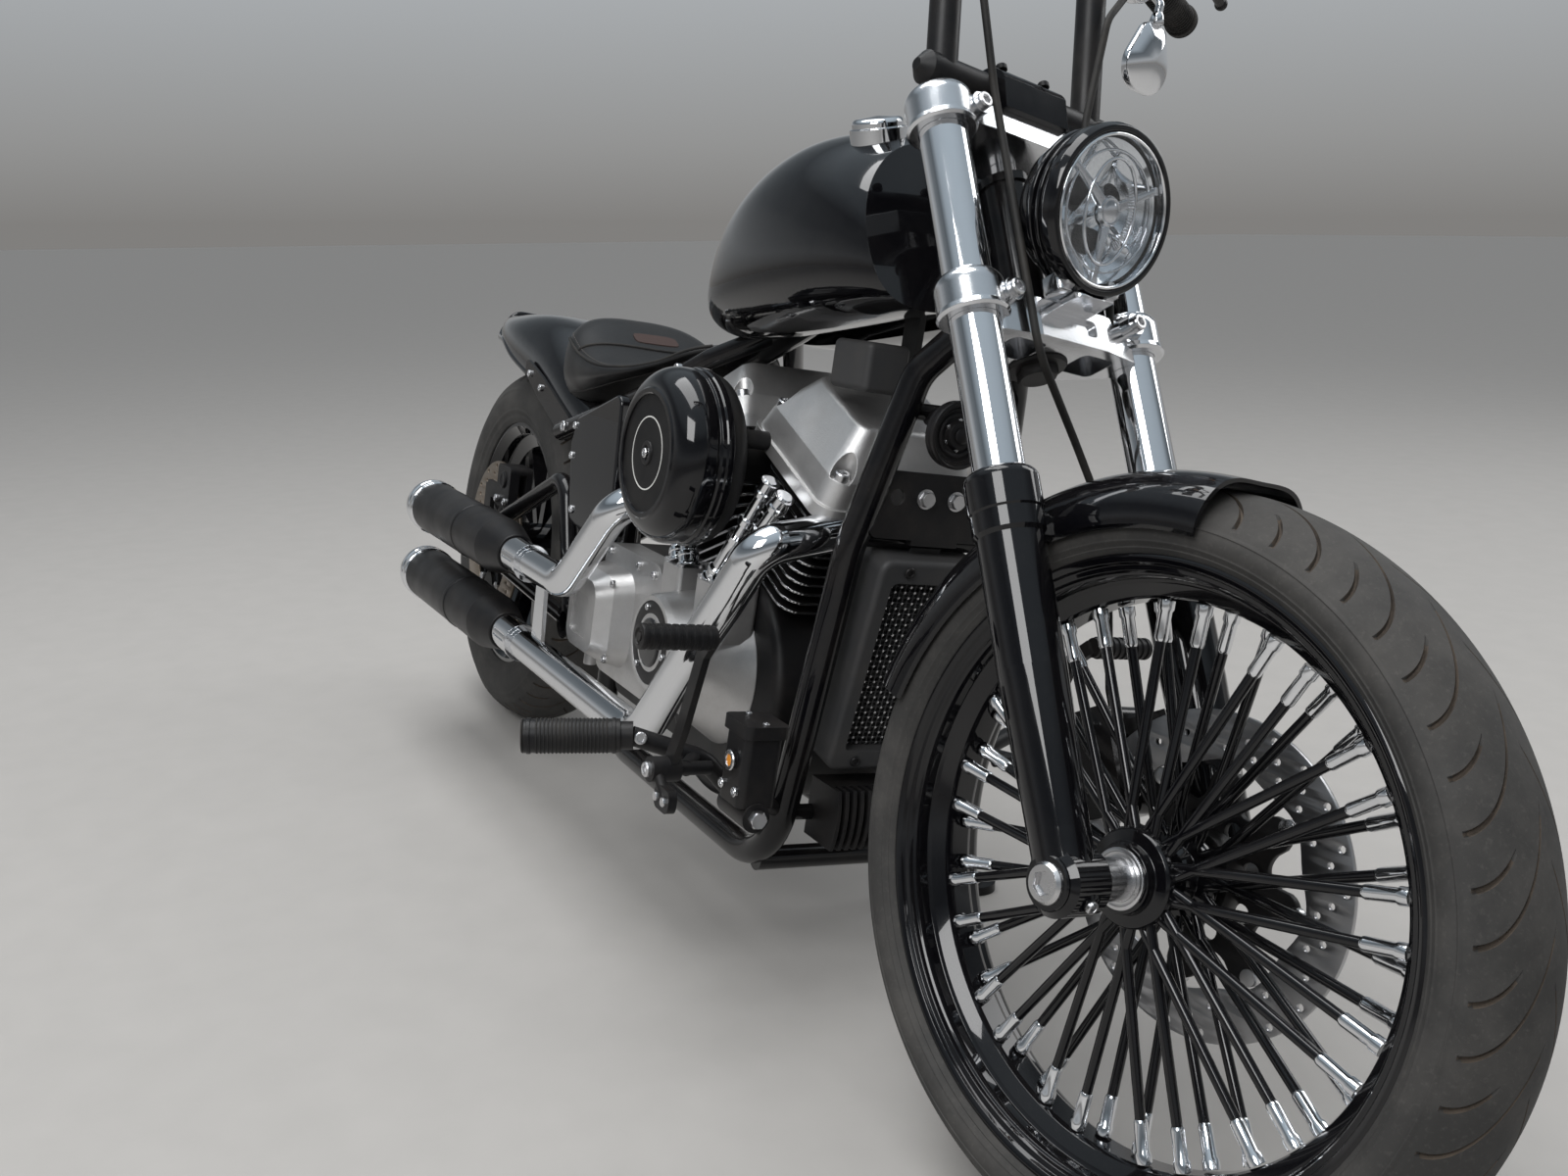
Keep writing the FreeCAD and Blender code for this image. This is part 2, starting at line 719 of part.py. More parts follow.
def lowerClamp():
    # the stem is pressed into this clamp, pockets lighten it from below, and an ear carries the lamp's foot
    base = s.lowerClampHeight
    stem = cylinderAt(Vector(-s.forkOffset, 0, lowerTop - 20), up, s.stemRadius, upperLow - s.seatGap - lowerTop + 20)
    ear = boxBetween(Vector(16, -20, base - 2), Vector(56, 20, base + 40))
    ear = ear.makeFillet(8, [edge for edge in ear.Edges if edge.BoundBox.ZLength > 20])
    lamp = Part.makeCylinder(s.lampRadius + s.seatGap, s.lampDepth + 20, Vector(0, -s.lampDepth - 10, 0), left)
    lamp.Placement = lampPlace
    pocket = boxBetween(Vector(-26, 26, base - 60), Vector(12, 72, lowerTop - 12))
    pocket = pocket.makeFillet(8, [edge for edge in pocket.Edges if edge.BoundBox.ZLength > 20])
    recess = boxBetween(Vector(21, -32, base - 24), Vector(40, 32, base - 7))
    recess = recess.makeFillet(5, [edge for edge in recess.Edges if edge.BoundBox.XLength > 15])
    whole = fused([clampShape("LowerClamp", base, "bridgeDepth", "26", "bridgeDrop"), stem, ear])
    return whole.cut([lamp, pocket, mirrored(pocket), recess])


lowerClampShape = lowerClamp()
node("lower_clamp", "steering", shapeNode("LowerClamp", lowerClampShape))
upperClamp = clampShape("UpperClamp", s.upperClampHeight, "clampPlate", "22")
node("upper_clamp", "steering", shapeNode("UpperClamp", upperClamp))

node("headlamp_shell", "steering", turned("HeadlampShell", [
    ("0", "0 - lampDepth"),
    ("lampRadius * 0.3", "0 - lampDepth"),
    ("lampRadius * 0.86", "0 - lampDepth * 0.52", "lampRadius * 0.9", "left"),
    ("lampRadius * 0.88", "0 - 39"),
    ("lampRadius * 0.93", "0 - 38"),
    ("lampRadius * 0.93", "0 - 32"),
    ("lampRadius * 0.89", "0 - 31"),
    ("lampRadius * 0.89", "0 - 26"),
    ("lampRadius * 0.95", "0 - 25"),
    ("lampRadius", "0 - 20", "6", "left"),
    ("lampRadius", "0 - 8"),
    ("lampRadius - 8", "0", "8", "left"),
    ("lensRadius + seatGap", "0 - 2"),
    ("lensRadius + seatGap", "0 - 26 - seatGap"),
    ("0", "0 - 26 - seatGap"),
], place=lampPlace))
node("headlamp_lens", "steering", turned("HeadlampLens", [
    ("0", "0 - 26"),
    ("lensRadius", "0 - 26"),
    ("lensRadius", "0 - 4"),
    ("0", "4", "(lensRadius * lensRadius + 64) / 16", "left"),
], place=lampPlace))


def barPath(side):
    tilt = math.radians(s.barTilt)
    foot = Vector(s.barClampForward, side * s.barHalf, barHeight)
    corner = foot + Vector(math.sin(tilt), 0, math.cos(tilt)) * s.barRise
    end = Vector(s.barEndForward, side * s.barEndSide, barHeight + s.barEndRise)
    return foot, corner, end


def handlebar():
    # two uprights on a cross tube whose ends are closed by cones
    foot, corner, end = barPath(1)
    along = (end - corner).normalize()
    gripStart = end - along * (s.gripLength + 60)
    upright = tubeAlong([foot, corner, gripStart], s.barRadius, s.barBend)
    gripBar = cylinderAt(gripStart, along, s.gripBarRadius, s.gripLength + 56)
    reach = s.barHalf + 22
    cross = cylinderAt(foot - left * s.barHalf, left, s.crossTubeRadius, reach)
    cap = Part.makeCone(s.crossTubeRadius, s.crossTubeRadius * 0.35, 11, foot + left * (reach - s.barHalf), left)
    side = fused([cross, cap, upright, gripBar])
    return fused([side, mirrored(side)])


node("handlebar", "steering", shapeNode("Handlebar", handlebar()))

riser = padded("BarRiser", [
    ("barClampForward - 25", "upperClampHeight + clampPlate / 2"),
    ("barClampForward + 25", "upperClampHeight + clampPlate / 2"),
    ("barClampForward + riserRadius", "upperClampHeight + riserHeight"),
    ("barClampForward - riserRadius", "upperClampHeight + riserHeight", "riserRadius + 1", "left"),
], "2 * riserHalf", place=Placement(Vector(0, s.riserHalf, 0), Rotation()))


def barRisers():
    # a black clamp block under and over the cross tube, parted in two at the tube's level
    block = shapeOf(riser)
    centre = Vector(s.barClampForward, -2 * s.riserHalf, barHeight)
    hole = cylinderAt(centre, left, s.crossTubeRadius + s.seatGap, 4 * s.riserHalf)
    waist = cylinderAt(Vector(s.barClampForward, -s.riserHalf * 0.35, barHeight), left, 60, s.riserHalf * 0.7)
    waist = waist.cut(cylinderAt(Vector(s.barClampForward, -s.riserHalf, barHeight), left, s.riserRadius - 4, 200))
    waist = waist.cut(boxBetween(Vector(-80, -90, upperLow), Vector(80, 90, barHeight)))
    return block.cut([hole, waist])


node("bar_risers", "steering", shapeNode("BarRisers", barRisers()))


def alongBar(start, along):
    return Placement(start, Rotation(up, along))


def grip():
    # a sleeve with a round flange at its inner end, a ring near its middle and a capped outer end
    foot, corner, end = barPath(1)
    along = (end - corner).normalize()
    return turned("Grip", [
        ("gripBarRadius + seatGap", "0"),
        ("gripRadius + 5", "0"),
        ("gripRadius + 5", "5"),
        ("gripRadius", "9"),
        ("gripRadius + 1", "gripLength * 0.5"),
        ("gripRadius", "gripLength - 11"),
        ("gripRadius + 3", "gripLength - 9"),
        ("gripRadius + 3", "gripLength - 3"),
        ("gripRadius", "gripLength"),
        ("0", "gripLength"),
        ("0", "gripLength - 3.7"),
        ("gripBarRadius + seatGap", "gripLength - 3.7"),
    ], role="XZ_Plane", place=alongBar(end - along * s.gripLength, along))


right = shapeNode("GripRight", mirrored(shapeOf(grip())))
node("grips", "steering", bothSides("Grips", right))


def barFrame():
    # where the left grip's bar runs: its outer end, and the directions outward, forward and up from it
    foot, corner, end = barPath(1)
    along = (end - corner).normalize()
    ahead = along.cross(up).normalize()
    return end, along, ahead, ahead.cross(along)


def barControl():
    # switch housing round the bar, inboard of the grip, with the lever's perch ahead of it
    end, along, ahead, above = barFrame()
    start = end - along * (s.gripLength + 52)
    housing = cylinderAt(start, along, 23, 50)
    housing = housing.makeFillet(4, [edge for edge in housing.Edges if edge.BoundBox.DiagonalLength > 55])
    perch = cylinderAt(start + ahead * 22 + along * 4, along, 11, 36)
    bore = cylinderAt(start - along * 10, along, s.gripBarRadius + s.seatGap, 70)
    return fused([housing, perch]).cut(bore)


control = barControl()
right = shapeNode("ControlRight", mirrored(control))
node("bar_controls", "steering", bothSides("BarControls", right))


def handLever():
    end, along, ahead, above = barFrame()
    root = end - along * (s.gripLength + 26) + ahead * 30
    lever = tubeAlong([root, root + along * 50 + ahead * 24, end + ahead * 50], 6, 60)
    tip = Part.makeSphere(8, end + ahead * 50)
    return fused([lever, tip]).cut(control)


right = shapeNode("LeverRight", mirrored(handLever()))
node("hand_levers", "steering", bothSides("HandLevers", right))

levelTurn = Rotation(left, s.rakeAngle)
mirrorShell = padded("MirrorShell", [
    ("0 - mirrorHalf * 0.45", "0", "mirrorHalf * 0.5", "left"),
    ("0 - mirrorHalf", "0 - mirrorHalf * 1.3"),
    ("mirrorHalf", "0 - mirrorHalf * 1.3", "mirrorHalf * 1.06", "left"),
    ("mirrorHalf * 0.45", "0"),
], "mirrorDepth")


def mirrorHead():
    # a teardrop shell hung below the perch on a bent stem, its glass facing the rider
    end, along, ahead, above = barFrame()
    top = end - along * (s.gripLength + 18) - above * 18
    elbow = top - above * 26 + ahead * 10
    low = elbow + levelTurn.multVec(up) * -22
    stem = tubeAlong([top, elbow, low], 5, 8)
    head = shapeOf(mirrorShell).copy()
    face = Placement(low, levelTurn) * Placement(Vector(s.mirrorDepth / 2, 0, -2), Rotation(up, -90))
    head.Placement = face
    return stem.fuse(head).cut(control)


right = shapeNode("MirrorRight", mirrored(mirrorHead()))
node("mirrors", "steering", bothSides("Mirrors", right))


def indicator():
    # a small round lamp, domed at its back, on a stalk clamped to the bar
    end, along, ahead, above = barFrame()
    centre = end - along * (s.gripLength + 82)
    stalk = cylinderAt(centre - above * 10, above * -1, 6, 30)
    lamp = turned("IndicatorLamp", [
        ("0", "0 - indicatorRadius * 0.9"),
        ("indicatorRadius * 0.5", "0 - indicatorRadius * 0.82"),
        ("indicatorRadius", "0", "indicatorRadius * 1.1", "left"),
        ("indicatorRadius", "8"),
        ("indicatorRadius - 3", "10"),
        ("0", "12"),
    ])
    shape = shapeOf(lamp).copy()
    face = Placement(centre - above * 44, levelTurn) * Placement(Vector(), Rotation(up, -90))
    shape.Placement = face
    bar = cylinderAt(end - along * (s.gripLength + 120), along, s.barRadius + s.seatGap, 80)
    return stalk.fuse(shape).cut([bar, control])


right = shapeNode("IndicatorRight", mirrored(indicator()))
node("indicators", "steering", bothSides("Indicators", right))


def frontCaliper():
    # straddles the disc's edge behind the left leg, on ears that reach the leg
    near = s.frontDiscSide - 20
    far = s.forkHalf - 4
    reach = s.frontDiscRadius
    block = boxBetween(Vector(-reach * 0.79, near, reach * 0.44), Vector(-reach * 0.41, far, reach * 1.15))
    block = block.makeFillet(10, [edge for edge in block.Edges if edge.BoundBox.YLength > 20])
    ears = [boxBetween(Vector(-reach * 0.47, 92, z), Vector(-10, far, z + 22)) for z in (reach * 0.5, reach * 0.92)]
    slot = cylinderAt(Vector(0, s.frontDiscSide - 3, 0), left, reach + 6, s.discThickness + 6)
    leg = cylinderAt(Vector(0, s.forkHalf, 0), up, s.lowerLegRadius + s.seatGap, 400)
    return fused([block.cut(slot)] + ears).cut(leg)


caliper = frontCaliper()
node("front_caliper", "steering", shapeNode("FrontCaliper", caliper))


def controlStart():
    # where a line leaves the left control's perch
    end, along, ahead, above = barFrame()
    return end - along * (s.gripLength + 34) + ahead * 30


def brakeHose():
    # from the right control in past the headlamp, round below the lower clamp and down behind the left leg
    start = controlStart()
    start = Vector(start.x, -start.y, start.z)
    path = [start, start + Vector(34, 22, -6), Vector(70, -96, s.upperClampHeight + 156),
            Vector(34, -66, s.upperClampHeight + 20), Vector(30, -64, s.lowerClampHeight - 60),
            Vector(-30, 40, s.frontTyreRadius + 84), Vector(-54, 96, s.frontTyreRadius + 10),
            Vector(-s.frontDiscRadius * 0.6, 97, s.frontDiscRadius * 1.3),
            Vector(-s.frontDiscRadius * 0.6, 97, s.frontDiscRadius * 1.1)]
    return tubeAlong(path, s.hoseRadius, [14, 60, 60, 40, 50, 40, 16])


def clutchCable():
    # from the left control down beside the headlamp to the guide on the lower clamp
    start = controlStart()
    path = [start, start + Vector(30, -26, -8), Vector(72, 90, s.upperClampHeight + 136),
            Vector(34, 66, s.upperClampHeight + 20), Vector(31, 63, lowerTop + 44), Vector(20, 62, lowerTop - 8)]
    return tubeAlong(path, s.hoseRadius, [14, 40, 60, 20])


def controlCables():
    tools = [control, mirrored(control), caliper, lowerClampShape, upperClamp]
    return Part.makeCompound([line.cut(tools) for line in (brakeHose(), clutchCable())])


node("control_cables", "steering", shapeNode("ControlCables", controlCables()))

# Frame and what it carries; mid() gives a point by its distances ahead of the crank, to the left and up


def mid(ahead, side, height):
    return Vector(s.crankForward + ahead, side, height)


def steerAxisPoint(height):
    return forkPlace.multVec(Vector(-s.forkOffset, 0, height))


def backbonePoints():
    middle = steerAxisPoint((neckLow + neckHigh) / 2)
    return [middle, mid(-50, 0, 800), mid(-250, 0, 722)]


def frameShape():
    # a neck, a backbone, and on each side one bent tube down, along and up behind, with a seat rail
    low = steerAxisPoint(neckLow)
    high = steerAxisPoint(neckHigh)
    neckAxis = (high - low).normalize()
    neck = cylinderAt(low, neckAxis, s.neckRadius, (high - low).Length)
    rings = [cylinderAt(point, neckAxis, s.neckRadius + 3, 9) for point in (low, high - neckAxis * 9)]
    backbone = tubeAlong(backbonePoints(), s.backboneRadius, 200)
    side = -s.railSide
    cradle = tubeAlong([
        low + neckAxis * 35, mid(288, -62, 745), mid(256, -94, 550), mid(202, side, s.railHeight),
        mid(-230, side, s.railHeight), Vector(s.pivotForward, -s.postSide, s.railHeight),
        Vector(s.pivotForward, -s.postSide, 560), Vector(s.pivotForward + 75, -s.postSide, 668)],
        s.downTubeRadius - 1, [60, 200, s.frameBend, 120, 34, 80])
    rail = tubeAlong([mid(-120, -6, 770), mid(-210, -64, 718), mid(-300, -96, 665), mid(-605, -118, 565)],
                     s.railRadius - 2, [60, 60])
    brace = cylinderAt(Vector(s.pivotForward + 75, -s.postSide, 664), Vector(0, -1, -0.2), 10, 34)
    half = fused([cradle, rail, brace])
    cross = []
    for ahead, height, reach, thick in ((170, s.railHeight, s.railSide, 14), (281, 705, 78, 9), (-300, 672, 90, 12),
                                        (257, 562, 90, 9), (207, 232, s.railSide, 9)):
        cross.append(cylinderAt(mid(ahead, -reach, height), left, thick, 2 * reach))
    cross.append(cylinderAt(Vector(s.pivotForward, -s.armSide, s.pivotHeight), left, 15, 2 * s.armSide))
    saddle = cylinderAt(mid(150, -s.backboneRadius - 8, 846), left, 9, 2 * s.backboneRadius + 16)
    whole = fused([neck, backbone, half, mirrored(half), saddle] + rings + cross)
    bore = cylinderAt(low - neckAxis, neckAxis, s.stemRadius + s.turnGap, (high - low).Length + 2)
    return whole.cut(bore)


frame = frameShape()
node("frame", "chassis", shapeNode("Frame", frame))


def swingarmShape():
    # on each side two tubes from the pivot's eye to the axle's forged plate, with a bridge over the tyre
    axle = Vector(0, -s.armSide, s.rearTyreRadius)
    pivot = Vector(s.pivotForward, -s.armSide, s.pivotHeight)
    top = Vector(s.pivotForward - 85, -s.armSide, 508)
    plate = cylinderAt(axle - left * 13, left, 32, 26)
    tail = boxBetween(axle + Vector(-44, -10, -15), axle + Vector(0, 10, 15))
    eye = cylinderAt(pivot - left * 13, left, 26, 26)
    arm = fused([tubeAlong([axle, pivot], s.armRadius), tubeAlong([axle, top, pivot], s.armRadius, 40), plate, tail, eye])
    bridge = cylinderAt(top + Vector(-6, 0, -14), left, s.armRadius - 2, 2 * s.armSide)
    whole = fused([arm, mirrored(arm), bridge])
    bore = cylinderAt(axle - left * 40, left, s.axleRadius + s.seatGap, 2 * s.armSide + 80)
    pin = cylinderAt(pivot - left * 40, left, 15 + s.seatGap, 2 * s.armSide + 80)
    return whole.cut([bore, pin])


node("swingarm", "chassis", shapeNode("Swingarm", swingarmShape()))

rearAxle = doc.addObject("Part::Cylinder", "RearAxle")
bind(rearAxle, Radius="axleRadius", Height="2 * armSide + 44")
rearAxle.Placement = Placement(Vector(0, -s.armSide - 22, s.rearTyreRadius), Rotation(up, left))
node("rear_axle", "chassis", rearAxle)


def tankSection(ahead, top, low, half):
    # a rounded teardrop section: full at the knees, narrower over the backbone
    rise = top - low
    right = [(0, top), (0.55, top - rise * 0.09), (0.9, top - rise * 0.33), (1, low + rise * 0.42),
             (0.93, low + rise * 0.12), (0.6, low), (0, low + 6)]
    loop = right + [(-wide, height) for wide, height in right[-2:0:-1]]
    return closedCurve([mid(ahead, wide * half, height) for wide, height in loop])


def tankShape():
    stations = [(-208, 842, 768, 62), (-180, 905, 758, 92), (-120, 962, 754, 118), (-30, 1000, 762, 134),
                (70, 1010, 776, 140), (160, 1000, 790, 138), (240, 966, 802, 128), (312, 900, 812, 108)]
    body = loftThrough([tankSection(*station) for station in stations])
    room = s.backboneRadius + 8
    ridge = backbonePoints()
    tunnel = tubeAlong(ridge, room, 200)
    below = Part.Face(Part.makePolygon([point - left * room for point in (
        ridge[0], ridge[1], ridge[2], mid(-310, 0, 690), mid(-310, 0, 500), mid(370, 0, 500), ridge[0])]))
    tunnel = tunnel.fuse(below.extrude(left * (2 * room)))
    behind = s.forkOffset + s.clampRoom
    cutter = boxBetween(Vector(0, -250, -400), Vector(400, 250, 600))
    cutter.Placement = Placement(forkPlace.multVec(Vector(-behind, 0, 600)), rakeTurn)
    neckRoom = cylinderAt(steerAxisPoint(neckLow - 50), steerAxisPoint(1) - steerAxisPoint(0), s.neckRadius + 12, 300)
    return body.cut([tunnel, cutter, neckRoom, frame])


tank = tankShape()
node("fuel_tank", "chassis", shapeNode("FuelTank", tank))


def fuelCap():
    # a domed screw cap on a flange, on the tank's right shoulder
    cap = shapeOf(turned("FuelCap", [
        ("0", "0"),
        ("capRadius + 3", "0"),
        ("capRadius + 3", "20"),
        ("capRadius", "21"),
        ("capRadius", "26"),
        ("capRadius - 6", "31", "7", "left"),
        ("0", "33"),
    ], role="XZ_Plane")).copy()
    cap.Placement = Placement(mid(135, -58, 982), Rotation(up, Vector(0.05, -0.3, 1)))
    return cap.cut(tank)


node("fuel_cap", "chassis", shapeNode("FuelCapSeated", fuelCap()))


def fenderArch(x, crown, edge, half):
    arch = Part.BSplineCurve()
    rise = crown - edge
    arch.interpolate([Vector(x, side * half * wide, edge + rise * tall) for side, wide, tall in (
        (-1, 1, 0), (-1, 0.93, 0.55), (-1, 0.55, 0.92), (1, 0, 1), (1, 0.55, 0.92), (1, 0.93, 0.55), (1, 1, 0))])
    return arch.toShape()


fenderStations = [(420, 640, 556, 104), (330, 676, 574, 105), (230, 712, 606, 104), (100, 738, 636, 100),
                  (-30, 742, 664, 94), (-120, 736, 684, 82), (-195, 733, 700, 58)]


def fenderShell(skin):
    # the arched skin, or the whole room under it where the skin is nothing
    sections = []
    for x, crown, edge, half in fenderStations:
        outer = fenderArch(x, crown, edge, half)
        ends = [vertex.Point for vertex in outer.Vertexes]
        if not skin:
            sections.append(Part.Wire([outer, Part.LineSegment(ends[1], ends[0]).toShape()]))
            continue
        inner = fenderArch(x, crown - skin, edge, half - skin)
        stops = [vertex.Point for vertex in inner.Vertexes]
        sections.append(Part.Wire([outer, Part.LineSegment(ends[1], stops[1]).toShape(), inner,
                                   Part.LineSegment(stops[0], ends[0]).toShape()]))
    return loftThrough(sections)


def fenderLip():
    # the rolled rim, from one side's lower edge round under the tail to the other's
    x, crown, edge, half = fenderStations[-1]
    sidePoints = [Vector(place, -wide + 1, low) for place, _, low, wide in fenderStations[3:-1]]
    tail = [Vector(x, -half + 1, edge), Vector(x - 4, -half * 0.62, edge + (crown - edge) * 0.86),
            Vector(x - 6, 0, crown - 2)]
    run = sidePoints + tail
    run += [Vector(point.x, -point.y, point.z) for point in run[-2::-1]]
    curve = Part.BSplineCurve()
    curve.interpolate(run)
    spine = Part.Wire(curve.toShape())
    ring = Part.Wire(Part.Circle(run[0], curve.tangent(curve.FirstParameter)[0], s.lipRadius).toShape())
    return spine.makePipeShell([ring], True, False)


fenderRoom = fenderShell(0)
fender = fused([fenderShell(s.fenderWall), fenderLip()]).cut(frame)
node("rear_fender", "chassis", shapeNode("RearFender", fender))


def seatShape():
    # a dished solo seat: raised behind the rider, lowest at the middle and narrow at the nose
    stations = [(-686, 748, 596, 96), (-620, 750, 600, 120), (-520, 716, 620, 138), (-410, 694, 656, 136),
                (-310, 706, 692, 104), (-244, 744, 726, 46)]
    sections = []
    for ahead, top, edge, half in stations:
        right = [(0, top), (0.7, top - 6), (1, (top + edge) / 2), (0.8, edge), (0, edge)]
        loop = right + [(-wide, height) for wide, height in right[-2:0:-1]]
        sections.append(closedCurve([mid(ahead, wide * half, height) for wide, height in loop]))
    cushion = loftThrough(sections).cut([fenderRoom, frame])
    return max(cushion.Solids, key=lambda solid: solid.Volume)


node("seat", "chassis", shapeNode("Seat", seatShape()))

# Engine


def bankPlace(side):
    # a cylinder's own frame: +Z up the bore, tilted forward or back from the crank
    return Placement(Vector(s.crankForward, 0, s.crankHeight), Rotation(left, side * s.vAngle))


def caseShape():
    # crank drum, gearbox block and the small pulley that drives the belt
    drum = cylinderAt(mid(0, -s.caseHalf, s.crankHeight), left, s.caseRadius, 2 * s.caseHalf)
    drum = drum.makeFillet(12, [edge for edge in drum.Edges if edge.BoundBox.YLength < 1])
    block = boxBetween(mid(-360, -s.transHalf, 215), mid(0, s.transHalf, 440))
    block = block.makeFillet(24, [edge for edge in block.Edges if edge.BoundBox.YLength > 40])
    centre = beltFront()
    pulley = cylinderAt(Vector(centre.x, s.transHalf, centre.z), left, s.smallPulleyRadius,
                        s.pulleySide + s.pulleyWidth - s.transHalf)
    return fused([drum, block, pulley]).cut(frame)


def beltFront():
    return mid(-310, s.pulleySide + 2, s.crankHeight + 5)


engineCase = caseShape()
node("crankcase", "chassis", shapeNode("Crankcase", engineCase))


def barrelShape(side):
    # a bored barrel under thin fins with rounded corners
    barrel = cylinderAt(up * s.barrelStart, up, s.barrelRadius, s.barrelTop - s.barrelStart)
    fins = []
    for index in range(int(s.finCount)):
        low = s.barrelStart + 12 + index * s.finPitch
        fin = boxBetween(Vector(-s.finHalf, -s.finHalf - 16, low), Vector(s.finHalf, s.finHalf + 16, low + s.finThickness))
        upright = [edge for edge in fin.Edges if abs(edge.Length - s.finThickness) < 1e-6]
        fins.append(fin.makeFillet(26, upright))
    whole = barrel.fuse(fins)
    whole.Placement = bankPlace(side)
    return whole


barrels = [barrelShape(side).cut(engineCase) for side in (1, -1)]
node("cylinders", "chassis", shapeNode("Cylinders", Part.makeCompound([
    barrels[0].cut(boxBetween(mid(-950, -200, 0), mid(0, 200, 1000))),
    barrels[1].cut(boxBetween(mid(1, -200, 0), mid(1050, 200, 1000)))])))


def roundedRing(long, wide, height, corner):
    # a rectangle with arcs at its corners, as one wire
    box = boxBetween(Vector(-long, -wide, height), Vector(long, wide, height + 10))
    box = box.makeFillet(corner, [edge for edge in box.Edges if edge.BoundBox.ZLength > 5])
    low = [face for face in box.Faces if face.BoundBox.ZLength < 1e-6 and abs(face.BoundBox.ZMin - height) < 1e-6]
    return low[0].OuterWire


def rockerCover(side):
    # a flange, then walls that draw in to a smaller, softened crown, with a well for each of its four bolts
    low = s.barrelTop
    long = s.rockerHalfLong
    wide = s.rockerHalfWide
    flange = boxBetween(Vector(-long, -wide, low), Vector(long, wide, low + 16))
    flange = flange.makeFillet(26, [edge for edge in flange.Edges if edge.BoundBox.ZLength > 5])
    crown = loftThrough([roundedRing(long - 4, wide - 4, low + 14, 24), roundedRing(long * 0.9, wide * 0.9, low + 46, 24),
                         roundedRing(long * 0.6, wide * 0.62, s.rockerTop, 18)], True)
    crown = crown.makeFillet(9, [edge for edge in crown.Edges if edge.BoundBox.ZMin > s.rockerTop - 1])
    wells = [cylinderAt(Vector(x * long * 0.78, y * wide * 0.78, low + 44), up, 13, 80)
             for x in (-1, 1) for y in (-1, 1)]
    cover = fused([flange, crown]).cut(wells)
    cover.Placement = bankPlace(side)
    return cover


covers = [rockerCover(side) for side in (1, -1)]
gapBox = boxBetween(mid(-3, -200, 0), mid(3, 200, 1000))
node("rocker_covers", "chassis", shapeNode("RockerCovers", Part.makeCompound([cover.cut(gapBox) for cover in covers])))


def camCover():
    # a cast nose that narrows outward to a ringed round face, with a tappet block under each bank's pushrods
    face = mid(-14, -s.camSide, s.crankHeight + 38)
    root = mid(-2, -s.caseHalf, s.crankHeight + 14)
    wires = [Part.Wire(Part.Circle(point, left, radius).toShape())
             for point, radius in ((face, s.camFaceRadius), (face + left * 8, s.camFaceRadius + 3), (root, 98))]
    nose = loftThrough(wires, True)
    ring = cylinderAt(face, left, s.camFaceRadius - 6, 4).cut(cylinderAt(face, left, s.camFaceRadius - 22, 4))
    tappets = []
    for side in (-1, 1):
        low, high = sorted((side * 24, side * 76))
        block = boxBetween(mid(low, -158, 395), mid(high, -s.caseHalf, s.tappetTop))
        tappets.append(block.makeFillet(7, [edge for edge in block.Edges if edge.BoundBox.ZLength > 20]))
    return fused([nose] + tappets).cut([ring, engineCase] + barrels)


camShape = camCover()
node("cam_cover", "chassis", shapeNode("CamCover", camShape))


def pushrodTube(foot, head):
    # a telescoped cover: a wide collar at the foot, a thinner tube above it and a cap at the head
    length = (head - foot).Length
    tube = cylinderAt(Vector(), up, s.pushrodRadius, length)
    lower = cylinderAt(Vector(), up, s.pushrodRadius + 2, length * 0.42)
    collars = [cylinderAt(up * (length * share), up, s.pushrodRadius + 4.5, 7) for share in (0.02, 0.4)]
    whole = fused([tube, lower] + collars)
    whole.Placement = Placement(foot, Rotation(up, head - foot))
    return whole


def pushrodTubes():
    tubes = []
    for side in (-1, 1):
        for spread in (0, 1):
            foot = mid(side * (36 + 27 * spread), -140, s.tappetTop)
            head = mid(side * (118 + 38 * spread), -124, 600 - 12 * spread)
            tubes.append(pushrodTube(foot, head))
    return Part.makeCompound([tube.cut([camShape] + covers + barrels) for tube in tubes])


node("pushrod_tubes", "chassis", shapeNode("PushrodTubes", pushrodTubes()))


def roundedSide(low, high, corner):
    # a box whose edges across the bike are rounded, and its outline as a wire at its right face
    box = boxBetween(low, high)
    return box.makeFillet(corner, [edge for edge in box.Edges if edge.BoundBox.YLength > 3 and edge.BoundBox.DiagonalLength - edge.BoundBox.YLength < 1e-6])


def faceWire(low, high, corner, side):
    box = roundedSide(Vector(low.x, side, low.z), Vector(high.x, side + 10, high.z), corner)
    right = [face for face in box.Faces if face.BoundBox.YLength < 1e-6 and abs(face.BoundBox.YMin - side) < 1e-6]
    return right[0].OuterWire


def transmissionShape():
    # a plain cover against the gearbox, and at its rear a drafted end cap with a sunk rectangle
    plate = roundedSide(mid(-360, -118, 252), mid(-152, -s.transHalf, 440), 30)
    cap = loftThrough([faceWire(mid(-378, 0, 272), mid(-236, 0, 412), 34, -116),
                       faceWire(mid(-370, 0, 280), mid(-246, 0, 404), 30, -146),
                       faceWire(mid(-360, 0, 290), mid(-262, 0, 392), 24, -166)], True)
    sunk = roundedSide(mid(-346, -180, 308), mid(-286, -162, 368), 9)
    drain = cylinderAt(mid(-318, -140, 264), up, 9, 30)
    return fused([plate, cap, drain]).cut([sunk, engineCase, frame, camShape])


node("transmission_cover", "chassis", shapeNode("Transmission", transmissionShape()))


